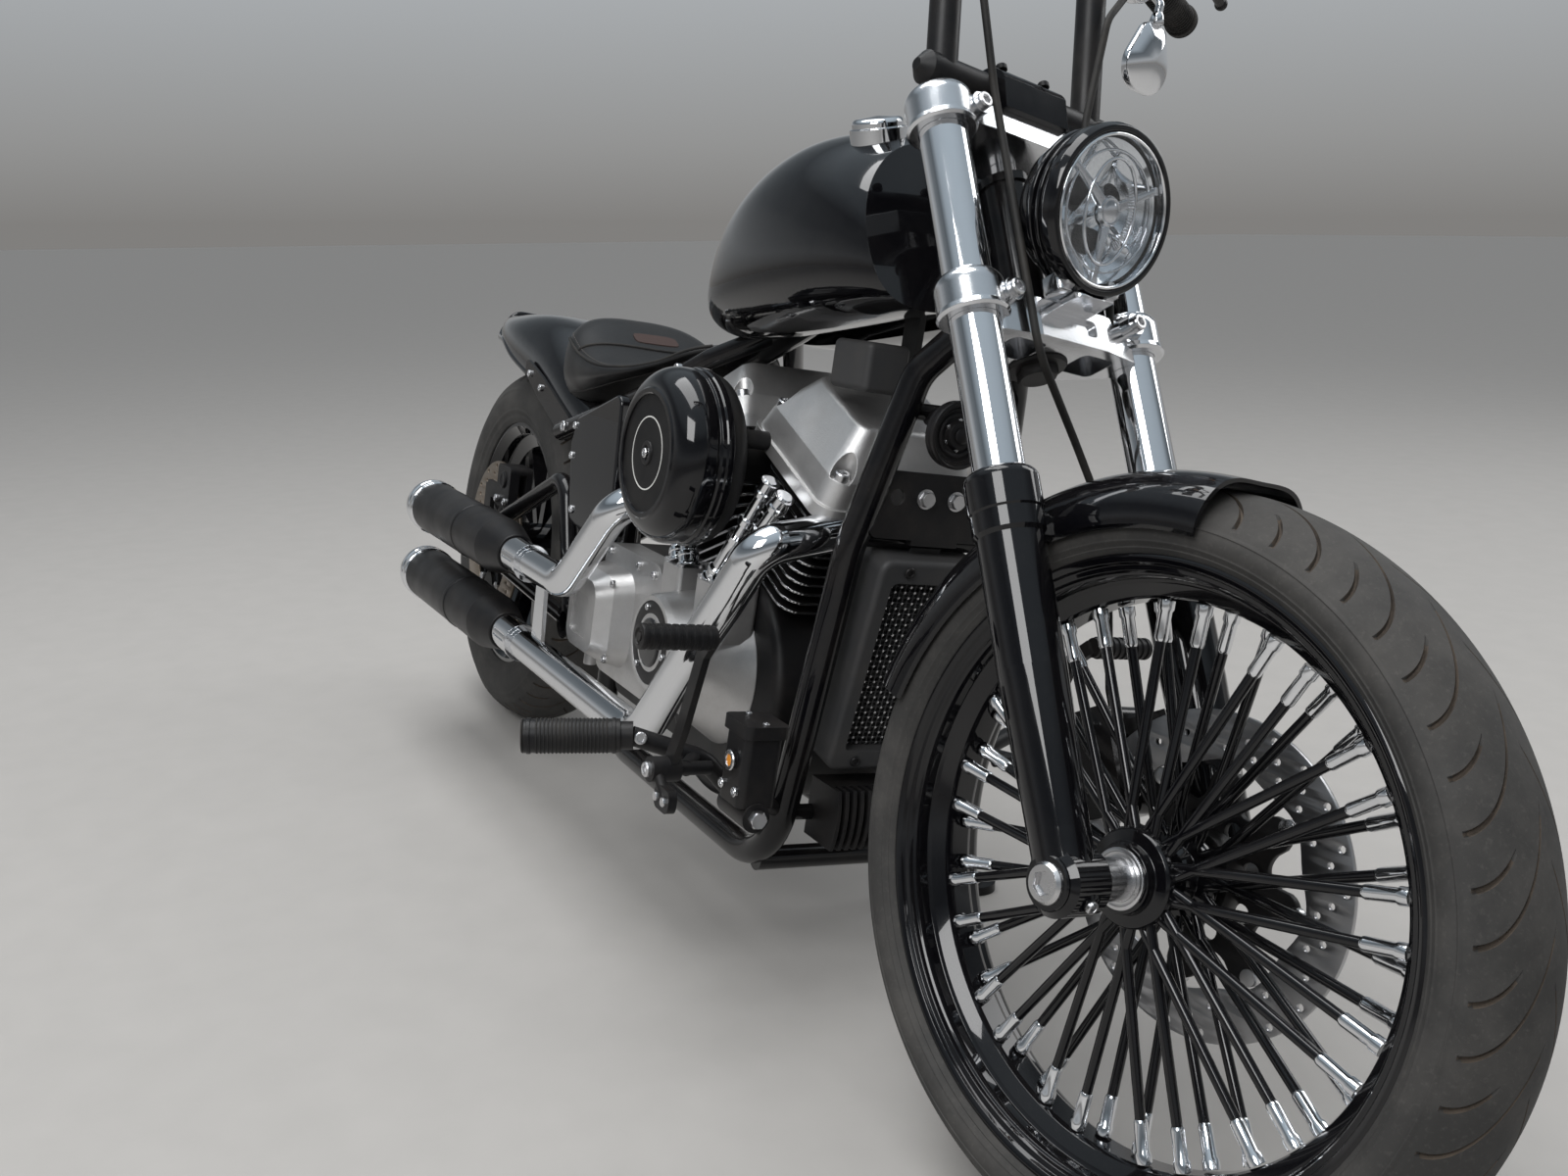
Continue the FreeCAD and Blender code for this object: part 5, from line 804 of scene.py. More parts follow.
frontRotor = {"outer": 150.0, "inner": 104.0, "carrier": 98.0, "near": 71.0, "far": 76.0, "bobbins": 8,
              "boss": (20, 44, 46.5), "screws": (34, 6)}


rotorSides = 240


def rotorShape(rotor):
    # a steel ring with three drilled holes to each row and a scalloped inner edge
    angle = fullTurn(rotorSides)
    inner = rotor["inner"] + 3.0 * np.cos(angle * rotor["bobbins"])
    holes = [np.stack([inner * np.cos(angle), inner * np.sin(angle)], -1)]
    count = rotor["bobbins"] * 3
    for index in range(count):
        turn = 2 * math.pi * index / count
        for inward, size, lag in ((8, 3.6, 0.0), (21, 3.2, 0.09), (33, 3.2, 0.18)):
            radius = rotor["outer"] - inward
            holes.append(ringHole(radius * math.cos(turn + lag), radius * math.sin(turn + lag), size, 10))
    return slab(circle(rotor["outer"], rotorSides), rotor["near"], rotor["far"], 0.5, holes)


def carrierShape(rotor):
    # a black spider: an arm out to each floating button, with round windows between
    angle = fullTurn(rotorSides)
    wave = np.cos(angle * rotor["bobbins"])
    reach = rotor["carrier"] - 14 + 16 * np.sign(wave) * np.abs(wave) ** 0.5
    outline = np.stack([reach * np.cos(angle), reach * np.sin(angle)], -1)
    holes = [ringHole(0, 0, 22, 40)]
    for index in range(rotor["bobbins"]):
        turn = 2 * math.pi * (index + 0.5) / rotor["bobbins"]
        holes.append(ringHole(50 * math.cos(turn), 50 * math.sin(turn), 9, 16))
    return slab(outline, rotor["near"] - 1, rotor["far"] + 1, 0.8, holes)


def rotorButtons(rotor):
    # a flanged button turned once, then one at the end of each of the carrier's arms
    button = turned([(0, -4), (8, -4), (8, 4), (5.5, 5), (4, 3.6), (0, 3.6)], 20, bevel=0.5, steps=2)
    middle = (rotor["near"] + rotor["far"]) / 2
    return copies(button,
                  [shiftBy(rotor["carrier"] * math.cos(turn), rotor["carrier"] * math.sin(turn), middle)
                   for turn in np.arange(rotor["bobbins"]) * 2 * math.pi / rotor["bobbins"]])


def rotorBoss(rotor):
    # a rectangular section turned about the axle, and five screws on a circle
    inner, outer, start = rotor["boss"]
    reach, height = rotor["screws"]
    boss = ringOf([(inner, start), (outer, start), (outer, rotor["near"] - 1), (inner, rotor["near"] - 1)],
                  64, bevel=1)
    screws = copies(socketScrew(6, height),
                    [shiftBy(reach * math.cos(turn), reach * math.sin(turn), rotor["far"] + 1)
                     for turn in np.arange(5) * 2 * math.pi / 5])
    return [(boss, satinBlack), (screws, boltSteel)]


def discParts(rotor, steel):
    return [(rotorShape(rotor), steel), (carrierShape(rotor), satinBlack),
            (rotorButtons(rotor), boltSteel)] + rotorBoss(rotor)


# local Z of a disc is the axle's Y, and its X and Y turn in the wheel's plane
makePiece("front_disc_dressed", discParts(frontRotor, discSteel),
          frames["frontWheel"] @ toAxle, "front_wheel", ["front_disc"])
print("front disc made")

# Headlamp, in a frame at the rim with Z forward and X up

bezel = {"outer": 82.0, "glass": 70.0, "depth": 88.0, "dome": 5.0, "bowl": 30.0, "cup": 68,
         "place": (96, 0, 612), "ribs": 26, "ribEnd": 0.6}
lampFrame = frames["fork"] @ shiftBy(*bezel["place"]) @ turnBy(stance["rake"], "Y") @ faceAhead


def lampShell():
    # a quarter of an ellipse behind and a stepped front, turned about the lamp's middle line
    outer, deep = bezel["outer"], bezel["depth"]
    back = np.linspace(0, math.pi / 2, 9)
    dome = np.column_stack([0.86 * outer * np.sin(back), -deep + (deep - 44) * (1 - np.cos(back))])
    front = [(0.87 * outer, -41), (0.94 * outer, -39.5), (0.94 * outer, -34), (0.88 * outer, -32.5),
             (0.88 * outer, -29), (0.95 * outer, -27.5), (0.95 * outer, -23.5), (0.9 * outer, -22.5),
             (0.9 * outer, -20.5), (outer - 1.5, -18), (outer, -13), (outer, -6), (outer - 3, 0.5),
             (outer - 7.5, 1), (outer - 9.5, -1.5), (outer - 9.5, -12), (outer - 12, -30)]
    return turned(np.concatenate([dome, rounded(front, 1.6, 3)]), 128)


def reflector():
    # a shallow bowl parted into three cups: its depth falls with the radius and rises at three ridges
    radius = np.linspace(0, 1, 26)[:, None]
    angle = fullTurn(120)[None, :]
    ridge = np.abs(np.cos(1.5 * (angle - math.pi / 3)))
    depth = (1 - radius ** 2) * (0.35 + 0.65 * ridge ** 0.6) * np.minimum(radius * 3, 1)
    radius = radius * bezel["cup"]
    return gridShape(np.stack([radius * np.cos(angle), radius * np.sin(angle), -11 - bezel["bowl"] * depth],
                              -1), caps=False)


def bridge():
    # three tapered arms from a round centre out to the trim ring
    arm = slab(rounded([(9, -5.5), (62, -3.2), (69, -6), (69, 6), (62, 3.2), (9, 5.5)], 2.5, 3, close=True),
               -11, -5, 1.2)
    hub = turned([(0, -12), (15, -12), (15, -7), (12.5, -3.5), (11, -4.5), (7, -3), (0, -1.5)], 48, bevel=1,
                 steps=3)
    return joined(copies(arm, [turnBy(degrees, "Z") for degrees in (180, 60, -60)]), hub)


def ovalRing(high, wide, thick, level, sides=96):
    # a round section carried along an ellipse, square to it everywhere
    angle = fullTurn(sides)
    path = np.stack([high * np.cos(angle), wide * np.sin(angle), np.full(sides, float(level))], -1)
    normal = unit(np.stack([wide * np.cos(angle), high * np.sin(angle), np.zeros(sides)], -1))
    ring = circle(thick, 12)
    points = path[:, None] + ring[:, :1] * normal[:, None] + ring[:, 1:] * np.array([0, 0, 1.0])
    return gridShape(points, closeRows=True)


lensDome = turned([(bezel["glass"] * math.sin(t), 1.0 + bezel["dome"] * (math.cos(t) ** 2 - 0.9))
                   for t in np.linspace(0.001, math.pi / 2, 18)] + [(bezel["glass"], -4), (0.1, -4)], 96)
ribs = copies(slab([(-0.6, 0), (0.6, 0), (0.6, 7), (-0.6, 7)], -6, -3.5, 0.2),
              [aimed((40 * math.cos(a), -31 * math.sin(a), 0), upWay, (math.sin(a), math.cos(a) * 0.7, 0))
               for a in np.linspace(bezel["ribEnd"], math.pi - bezel["ribEnd"], bezel["ribs"])])
trimRing = ringOf([(69.5, -9), (72.5, -9), (72.5, 0.4), (71, 1.6), (69.5, 0.4)], 128)
makePiece("headlamp_shell_dressed", [(lampShell(), glossBlack), (trimRing, chromePlate),
                                     (reflector(), mirrorSilver), (bridge(), polishedAlloy),
                                     (ovalRing(50, 33, 1.7, -5), chromePlate),
                                     (ovalRing(57, 57, 1.4, -7), chromePlate), (ribs, polishedAlloy)],
          lampFrame, "steering", ["headlamp_shell"])
makePiece("headlamp_lens_dressed", [(lensDome, clearGlass)], lampFrame, "steering",
          ["headlamp_lens"])
print("headlamp made")

# Engine, in the bike's frame; each bank has Z up its bore

engine = {"crank": (950, 0, 335), "angle": 22.5, "low": 140, "first": 12, "pitch": 13, "fins": 11, "half": 76,
          "wells": (106 * 0.78, 112 * 0.78, 340), "rim": (0.7, 3.3), "proud": 0.35, "stretch": 16,
          "corner": 26, "thick": 4, "meeting": 3}


def bank(side):
    return shiftBy(*engine["crank"]) @ turnBy(engine["angle"] * side, "Y")


def finEdges():
    # a bright strip along each fin's rim, 2.6 mm of the fin's 4 mm; the lowest are cut where the banks meet
    shapes = []
    slope = math.tan(math.radians(engine["angle"]))
    for side in (-1, 1):
        for index in range(engine["fins"]):
            low = engine["low"] + engine["first"] + engine["pitch"] * index
            half = engine["half"] + engine["proud"]
            tall = half + engine["stretch"]
            outline = rounded([(-half, -tall), (half, -tall), (half, tall), (-half, tall)], engine["corner"],
                              6, close=True)
            limit = (low + engine["thick"]) * slope - engine["meeting"]
            outline[:, 0] = np.maximum(outline[:, 0] * side, -limit) * side
            bottom, top = engine["rim"]
            shapes.append(moved(slab(outline, low + bottom, low + top), bank(side)))
    return joined(shapes)


def headScrews():
    # a socket screw at the bottom of each well
    along, across, top = engine["wells"]
    wells = [shiftBy(x * along, y * across, top) for x in (-1, 1) for y in (-1, 1)]
    return copies(copies(socketScrew(8.5, 9), wells), [bank(side) for side in (-1, 1)])


chassisPiece("cylinder_fin_edges", [(finEdges(), polishedAlloy)])
chassisPiece("rocker_screws", [(headScrews(), boltSteel)])

breather = {"place": (952, -235, 606), "face": 76, "radius": 105}
airFrame = frames["bike"] @ aimed(breather["place"], rightWay)


def breatherDome():
    # the radius grows with a sine while the face falls with 1 less its cosine, to the power 0.9
    face, outer = breather["face"], breather["radius"]
    turn = np.linspace(0, math.pi / 2, 14)
    dome = np.column_stack([face + 2 + (outer - face - 2) * np.sin(turn),
                            -2 - 34 * (1 - np.cos(turn)) ** 0.9])
    low = [(outer, -44), (outer - 2.5, -46), (outer - 2.5, -49), (outer, -51), (outer, -56),
           (outer + 1.5, -58), (outer + 1.5, -65), (outer, -66.5), (outer - 20, -66.5)]
    return turned(np.concatenate([[(face - 7, -6), (face - 6.5, -1.2), (face - 5, 0), (face, 0)], dome,
                                  rounded(low, 0.8, 3)]), 160)


def breatherFace():
    # a flat face and its edge, turned about the cover's middle
    return turned([(0, -3.2), (12, -3.2), (12.5, -3.8), (63, -3.8), (69.5, -3.8), (69.5, -9), (0, -9)], 128)


whiteRing = turned([(42.0, -4.2), (43.6, -4.2), (43.6, -3.4), (42.0, -3.4)], 128, closed=True)
collar = ringOf([(9, -4), (15, -4), (14, -1.8), (9, -1.8)], 40, bevel=0.4)
airScrew = moved(socketScrew(6, 5), shiftBy(0, 0, -4))
makePiece("air_cleaner_dressed", [(breatherDome(), glossBlack), (breatherFace(), mattBlack),
                                  (whiteRing, paleLine), (airScrew, boltSteel), (collar, satinBlack)],
          airFrame, "chassis", ["air_cleaner_cover"])

camCover = {"place": (936, -190, 373), "screwRing": 44, "angles": (20, 140, 260)}
camRing = turned([(36, -3), (52, -3), (52, -0.8), (49, -0.4), (39, -0.4), (36, -0.8)], 96, closed=True)
camDisc = turned([(0, 2.5), (27, 2.5), (30, 1.5), (31, -1), (0, -1)], 72, bevel=0.8, steps=3)
camScrews = copies(socketScrew(4.2, 4), [turnBy(degrees, "Z") @ shiftBy(camCover["screwRing"], 0, -0.6)
                                         for degrees in camCover["angles"]])
makePiece("cam_cover_inset", [(camDisc, glossBlack), (camRing, satinBlack), (camScrews, boltSteel)],
          frames["bike"] @ aimed(camCover["place"], rightWay), "chassis")
print("engine dressed")

# Mufflers: satin bodies, bright tips and a dark inside

pot = {"front": 438, "side": -200, "levels": (382, 261), "length": 490, "fall": 9, "radius": 45, "bore": 37,
       "step": 0.42, "badge": 0.2}


def mufflerParts(height):
    # profiles of (radius, way along) turned about the muffler's own line, which falls a little
    long, radius, bore = pot["length"], pot["radius"], pot["bore"]
    step = long * pot["step"]
    place = aimed((pot["front"], pot["side"], height), (-long, 0, -pot["fall"]))
    body = turned(rounded([(24, 0.5), (29, 0), (30, 2), (41, 58), (44, 74), (44, step - 2), (45.4, step),
                           (45.4, step + 9), (44.8, step + 11), (radius, long - 40), (radius, long - 34)],
                          2.5, 4), 96)
    tip = turned(rounded([(radius - 1, long - 36), (radius + 2.6, long - 34), (radius + 2.6, long - 23),
                          (radius + 0.4, long - 21), (radius + 0.4, long - 16), (radius + 2.6, long - 14),
                          (radius + 2.6, long - 3), (radius - 0.5, long + 0.5), (bore + 1, long + 0.5),
                          (bore, long - 2), (bore, long - 40), (bore + 3, long - 40)], 1.2, 3), 96)
    inside = turned([(bore, long - 39), (bore - 1, long - 60), (18, long - 62), (16, long - 90),
                     (0, long - 92)], 64)
    disc = turnedAt((0, radius - 0.3, long * pot["badge"]), leftWay,
                    [(0, 0), (9, 0), (9, 1.4), (8, 2), (0, 2)], 32)
    return [(moved(shape, place), material) for shape, material in
            ((body, satinBlack), (tip, chromePlate), (inside, mattBlack), (disc, boltSteel))]


chassisPiece("mufflers_dressed", [part for level in pot["levels"] for part in mufflerParts(level)],
             ["mufflers"])
print("mufflers made")

# Seat: a crowned cushion over the fender, then its piping and seams

cushion = {"x": (262, 285, 330, 430, 540, 640, 690, 708), "top": (736, 748, 752, 716, 694, 708, 736, 742),
           "edge": (604, 596, 600, 622, 656, 690, 716, 728), "half": (70, 96, 120, 138, 135, 100, 60, 34),
           "dish": 5, "dishFrom": 400, "dishTo": 620, "dishFade": 60, "dishWidth": 0.45, "rows": 110,
           "columns": 120, "squareness": 0.62, "middle": 0.42, "skirt": 0.8, "tuck": 0.12, "thinnest": 14}
arch = {"x": (230, 330, 420), "crown": (712, 676, 640), "edge": (606, 574, 556), "half": (104, 105, 104),
        "across": (0, 0.55, 0.93, 1, 1.001), "height": (1, 0.92, 0.55, 0, -9), "gap": 1.0}


def easyCurve(values, x, knots):
    # piecewise cubic through the knots with slopes from their neighbours
    values, knots = np.asarray(values, float), np.asarray(knots, float)
    slopes = np.gradient(values, knots)
    index = np.clip(np.searchsorted(knots, x) - 1, 0, len(knots) - 2)
    width = knots[index + 1] - knots[index]
    t = (x - knots[index]) / width
    return ((1 + 2 * t) * (1 - t) ** 2 * values[index] + t * (1 - t) ** 2 * width * slopes[index]
            + t ** 2 * (3 - 2 * t) * values[index + 1] + t ** 2 * (t - 1) * width * slopes[index + 1])


def seatLines(x):
    # the cushion's top, edge and half width at each station
    return [easyCurve(cushion[key], x, cushion["x"]) for key in ("top", "edge", "half")]


def seatSection(x, angle):
    # around each station: a flattened oval on top, straight skirts, and a floor that follows the fender
    top, edge, half = (value[:, None] for value in seatLines(x))
    across = np.sign(np.cos(angle)) * np.abs(np.cos(angle)) ** cushion["squareness"]
    upward = np.sin(angle)
    middle = edge + (top - edge) * cushion["middle"]
    crown = middle + (top - middle) * np.abs(upward) ** cushion["squareness"]
    fade = np.clip(np.stack([x[:, None] - cushion["dishFrom"], cushion["dishTo"] - x[:, None]])
                   / cushion["dishFade"], 0, 1)
    dish = cushion["dish"] * np.exp(-(across / cushion["dishWidth"]) ** 2) * fade[0] * fade[1]
    skirt = middle + (edge - middle) * np.abs(upward) ** cushion["skirt"]
    height = np.where(upward > 0, crown - dish * np.abs(upward), skirt)
    width = half * across * np.where(upward > 0, 1, 1 - cushion["tuck"] * np.abs(upward))
    crownLine, edgeLine, halfLine = (np.interp(x, arch["x"], arch[key])[:, None]
                                     for key in ("crown", "edge", "half"))
    share = np.interp(np.abs(width) / halfLine, arch["across"], arch["height"])
    floor = edgeLine + (crownLine - edgeLine) * share + arch["gap"]
    lowest = np.minimum(floor, top - cushion["thinnest"])
    return width, np.where(upward < 0, np.maximum(height, lowest), height)


def seatShape():
    # the sections of every station as one closed grid
    x = np.linspace(cushion["x"][0], cushion["x"][-1], cushion["rows"])
    angle = fullTurn(cushion["columns"])[None, :]
    y, z = seatSection(x, angle)
    return gridShape(np.stack([np.broadcast_to(x[:, None], y.shape), y, z], -1))


def seatLine(degrees, start, stop, lift=0.6, count=90):
    # a line along the cushion at one angle of its sections
    x = np.linspace(start, stop, count)
    angle = np.full((1, 1), math.radians(degrees))
    y, z = seatSection(x, angle)
    return np.stack([x, y[:, 0] + lift * math.cos(angle[0, 0]), z[:, 0] + lift * math.sin(angle[0, 0])], -1)


def acrossSeat(x, low, high, bow=0.0, count=60):
    # a line over the cushion at one station, bowed along the bike
    angle = np.radians(np.linspace(low, high, count))
    place = x + bow * np.sin(angle * 2 - math.pi / 2)
    points = []
    for turn, at in zip(angle, place):
        y, z = seatSection(np.array([at]), np.array([[turn]]))
        points.append((at, y[0, 0], z[0, 0] + 0.6))
    return np.array(points)


def piping(path, radius=2.4):
    # a round cord along a line
    return alongPath(path, circle(np.full(len(path), radius), 10))


seam = {"start": 275, "stop": 690, "points": 118, "patch": (388, 414), "patchStations": 17, "patchHalf": 13.1,
        "patchAngle": 7, "patchColumns": 12, "patchHeight": 1.4, "patchDepth": 3.0}
welts = [piping(seatLine(degrees, 268, 700)) for degrees in (22, 158)]
welts.append(piping(acrossSeat(420, 24, 156, 14)))
welts += [piping(seatLine(degrees, seam["start"], seam["stop"], 0.2), 1.1) for degrees in (-30, 210)]
stitches = []
for degrees in (29, 151):
    line = seatLine(degrees, seam["start"], seam["stop"], 0.4, seam["points"])
    stitches += [piping(line[i:i + 2], 0.7) for i in range(0, seam["points"] - 2, 2)]


def insetPatch():
    # a rounded pad on the middle line, narrower toward its ends by the fourth root of 1 less a fourth power
    rings = []
    count = seam["patchColumns"]
    middle = sum(seam["patch"]) / 2
    for x in np.linspace(*seam["patch"], seam["patchStations"]):
        reach = seam["patchAngle"] * max(1 - ((x - middle) / seam["patchHalf"]) ** 4, 0.001) ** 0.25
        angle = np.radians(np.linspace(90 - reach, 90 + reach, count))[None, :]
        y, z = seatSection(np.array([x]), angle)
        top = np.column_stack([np.full(count, x), y[0], z[0] + seam["patchHeight"]])
        rings.append(np.concatenate([top, top[::-1] - (0, 0, seam["patchDepth"])]))
    return gridShape(np.array(rings))


seat = chassisPiece("seat_cushion", [(seatShape(), seatLeather)], ["seat"])
chassisPiece("seat_piping", [(joined(welts), gripRubber), (joined(stitches), threadGrey),
                             (insetPatch(), insetBrown)])
print("seat made")

# Fork, clamps and bars, in the fork's frame: X forward, Y left, Z up the tubes

clamp = {"lug": 87, "face": 33.5, "levels": (542, 744), "stem": (-29.5, 0, 506.5), "lampFace": 50,
         "lampSide": 30, "lampLevel": 556, "lampHalf": (9, 10)}


def clampFasteners():
    # pinch screws, the nut under the stem, and the lamp's two blocks with their nuts
    screws = screwsAt(8.5, 7, frontWay, [(clamp["face"], side * clamp["lug"], level)
                                         for side in (-1, 1) for level in clamp["levels"]])
    stemNut = joined(turned([(0, 0), (30, 0), (31, 1.5), (29, 4), (24, 4.5), (0, 4.5)], 64),
                     moved(hexNut(21, 10), shiftBy(0, 0, 4)))
    face, level, (wide, tall) = clamp["lampFace"], clamp["lampLevel"], clamp["lampHalf"]
    middles = [side * clamp["lampSide"] for side in (-1, 1)]
    blocks = [roundedBox((24, y - wide, level - tall), (face, y + wide, level + tall), 5, 2) for y in middles]
    bolts = placed(hexNut(9.5, 7), frontWay, [(face, y, level) for y in middles])
    return [(screws, boltSteel), (moved(stemNut, aimed(clamp["stem"], (0, 0, -1), frontWay)), satinBlack),
            (joined(blocks), polishedAlloy), (bolts, boltSteel)]


forkPiece("clamp_fasteners", clampFasteners())

bars = {"foot": (4, 105, 790), "rise": 240, "tilt": 17, "end": (-22, 385, 1052), "grip": 125,
        "riser": (31, 809), "screws": (-15, 15), "ribs": 18, "ribStart": 15, "ribPitch": 5.6}
riserSide, riserTop = bars["riser"]
riserScrews = screwsAt(6, 6, upWay, [(bars["foot"][0] + ahead, side * riserSide, riserTop)
                                     for side in (-1, 1) for ahead in bars["screws"]])
forkPiece("riser_screws", [(riserScrews, satinBlack)])


def gripFrame():
    # the left grip's outer end and the directions outward, forward and up from its bar
    tilt = math.radians(bars["tilt"])
    corner = np.array(bars["foot"]) + np.array((math.sin(tilt), 0, math.cos(tilt))) * bars["rise"]
    along = unit(np.array(bars["end"]) - corner)
    ahead = unit(np.cross(along, upWay))
    return np.array(bars["end"], float), along, ahead, np.cross(ahead, along)


barEnd, outwardWay, aheadWay, aboveWay = gripFrame()


def fromGrip(inward, ahead=0.0, above=0.0):
    # a place measured from the grip's inner end, toward the bars' middle, forward and up
    return barEnd - outwardWay * (bars["grip"] + inward) + aheadWay * ahead + aboveWay * above


def gripDressing():
    # thin ribs turned about the grip at an even pitch, and an end cap
    place = aimed(barEnd - outwardWay * bars["grip"], outwardWay)
    rib = turned([(17, -1.7), (18.4, -1.5), (18.9, 0), (18.4, 1.5), (17, 1.7)], 40, closed=True)
    ribs = copies(rib, [place @ shiftBy(0, 0, bars["ribStart"] + bars["ribPitch"] * index)
                        for index in range(bars["ribs"])])
    cap = turned([(0, 0), (19, 0), (20, 1), (18, 2.6), (12, 3.4), (0, 3.6)], 48)
    cap = moved(cap, place @ shiftBy(0, 0, bars["grip"] - 0.5))
    return [(bothSides(ribs), gripRubber), (bothSides(cap), satinBlack)]


forkPiece("grip_ribs", gripDressing())

switch = {"perch": (26, 30, 10.5), "inward": 27, "face": 21.5, "rise": 8, "screws": (16, -18), "back": -22.4,
          "buttons": (-14, 2, 17)}


def switchDressing():
    # one screw in the perch, two in the housing's face, and three buttons on its back
    housing = fromGrip(switch["inward"])
    face = housing + aheadWay * switch["face"] + aboveWay * switch["rise"]
    screws = joined(screwsAt(6.5, 4, aboveWay, [fromGrip(*switch["perch"])]),
                    screwsAt(3.6, 2.5, aheadWay, [face + outwardWay * shift for shift in switch["screws"]]))
    button = roundedBox((-6, -4, 0), (6, 4, 3.5), 2.5, 1)
    buttons = copies(button,
                     [aimed(housing + aheadWay * switch["back"] + outwardWay * shift, -aheadWay, outwardWay)
                      for shift in switch["buttons"]])
    return [(bothSides(screws), boltSteel), (bothSides(buttons), mattBlack)]


forkPiece("switches", switchDressing())

mirror = {"inward": 18, "drop": 18, "elbow": (10, -26), "fall": 22, "middle": (-42.0, 0.0), "glass": 0.91,
          "rise": 12.5}
levelTurn = turnBy(stance["rake"], "Y")
plumbWay = levelTurn[:3, 2]
mirrorTop = fromGrip(mirror["inward"]) - aboveWay * mirror["drop"]
mirrorElbow = mirrorTop + aboveWay * mirror["elbow"][1] + aheadWay * mirror["elbow"][0]
mirrorLow = mirrorElbow - plumbWay * mirror["fall"]
mirrorPlace = shiftBy(*mirrorLow) @ levelTurn @ aimed((0, 0, -2), frontWay, upWay)
teardrop = rounded([(0, -17), (0, 17), (-49, 39), (-78, 24), (-78, -24), (-49, -39)],
                   (11, 11, 30, 26, 26, 30), 8, close=True)


def mirrorShell():
    # rings of the teardrop, shrunk toward its middle: a rolled rim, then a crown that falls with a power of r
    rings = [(0.9, -6.6), (0.93, -7.4), (0.97, -7.2), (1.0, -4.5), (1.0, 0.5)]
    rings += [(share, 1.5 + mirror["rise"] * (1 - share ** 2.2))
              for share in (0.98, 0.93, 0.85, 0.74, 0.6, 0.45, 0.3, 0.15, 0.03)]
    middle = np.array(mirror["middle"])
    return gridShape(np.array([np.column_stack([middle + (teardrop - middle) * share,
                                                np.full(len(teardrop), level)]) for share, level in rings]))


def mirrorParts():
    # the glass is the teardrop drawn in toward its middle; a bent round stem holds the shell
    glass = slab((teardrop - mirror["middle"]) * mirror["glass"] + mirror["middle"], -7.1, -6.0)
    stem = joined(pipe([mirrorTop, mirrorElbow, mirrorLow], 5, 8, 20),
                  turnedAt(mirrorLow, plumbWay, [(0, -3), (8, -3), (9, 0), (7, 9), (5, 12), (0, 12)], 32),
                  turnedAt(mirrorTop, -aboveWay, [(0, -4), (9, -4), (9, 5), (6, 7), (0, 7)], 32))
    return [(bothSides(joined(moved(mirrorShell(), mirrorPlace), stem)), chromePlate),
            (bothSides(moved(glass, mirrorPlace)), mirrorSilver)]


forkPiece("mirrors_dressed", mirrorParts(), ["mirrors"])

signal = {"inward": 82, "drop": 44, "radius": 17.4}


def signalParts():
    # a turned rim and a quarter of an ellipse turned for the lens
    place = shiftBy(*fromGrip(signal["inward"]) - aboveWay * signal["drop"]) @ levelTurn @ faceAhead
    rim = ringOf([(17, 9), (20.6, 8), (21, 11), (20, 13.5), (17.6, 13.5), (17, 12)], 64, bevel=0.6)
    wide = signal["radius"]
    lens = turned([(wide * math.sin(t), 12 + 5 * math.cos(t)) for t in np.linspace(0.001, math.pi / 2, 10)]
                  + [(wide, 11), (0.1, 11)], 64)
    return [(bothSides(moved(rim, place)), chromePlate), (bothSides(moved(lens, place)), amberGlass)]


forkPiece("signal_lenses", signalParts())

axle = {"end": (0, -134.5, 0), "head": (18, 8), "bossTurn": -48, "boss": (29, 112), "caliper": 108,
        "bolts": ((-104, 84), (-76, 84), (-104, 150), (-76, 150))}


def axleFasteners():
    # the axle's head and washer, a pinch screw in each leg's boss, and the caliper's bolts
    turn = math.radians(axle["bossTurn"])
    way = (math.cos(turn), 0, math.sin(turn))
    reach, half = axle["boss"]
    pinch = screwsAt(5.8, 6, way, [(reach * way[0], side * half, reach * way[2]) for side in (-1, 1)])
    bolts = screwsAt(6, 5, leftWay, [(x, axle["caliper"], z) for x, z in axle["bolts"]])
    washer = turnedAt(axle["end"], rightWay, [(18, 0), (23, 0), (23.6, 1.2), (22.6, 3), (18, 3)], 64,
                      closed=True)
    return [(joined(screwsAt(*axle["head"], rightWay, [axle["end"]]), pinch, bolts), boltSteel),
            (washer, glossBlack)]


forkPiece("axle_fasteners", axleFasteners())
print("fork and bars dressed")

# Engine's and chassis' small parts, in the bike's frame

tappets = {"side": -140, "top": 466, "near": 36, "step": 27, "headNear": 118, "headStep": 38,
           "headSide": -124, "headTop": 600, "headDrop": 12, "spring": 0.56, "screws": (29, 71),
           "screwSides": (-152, -126)}


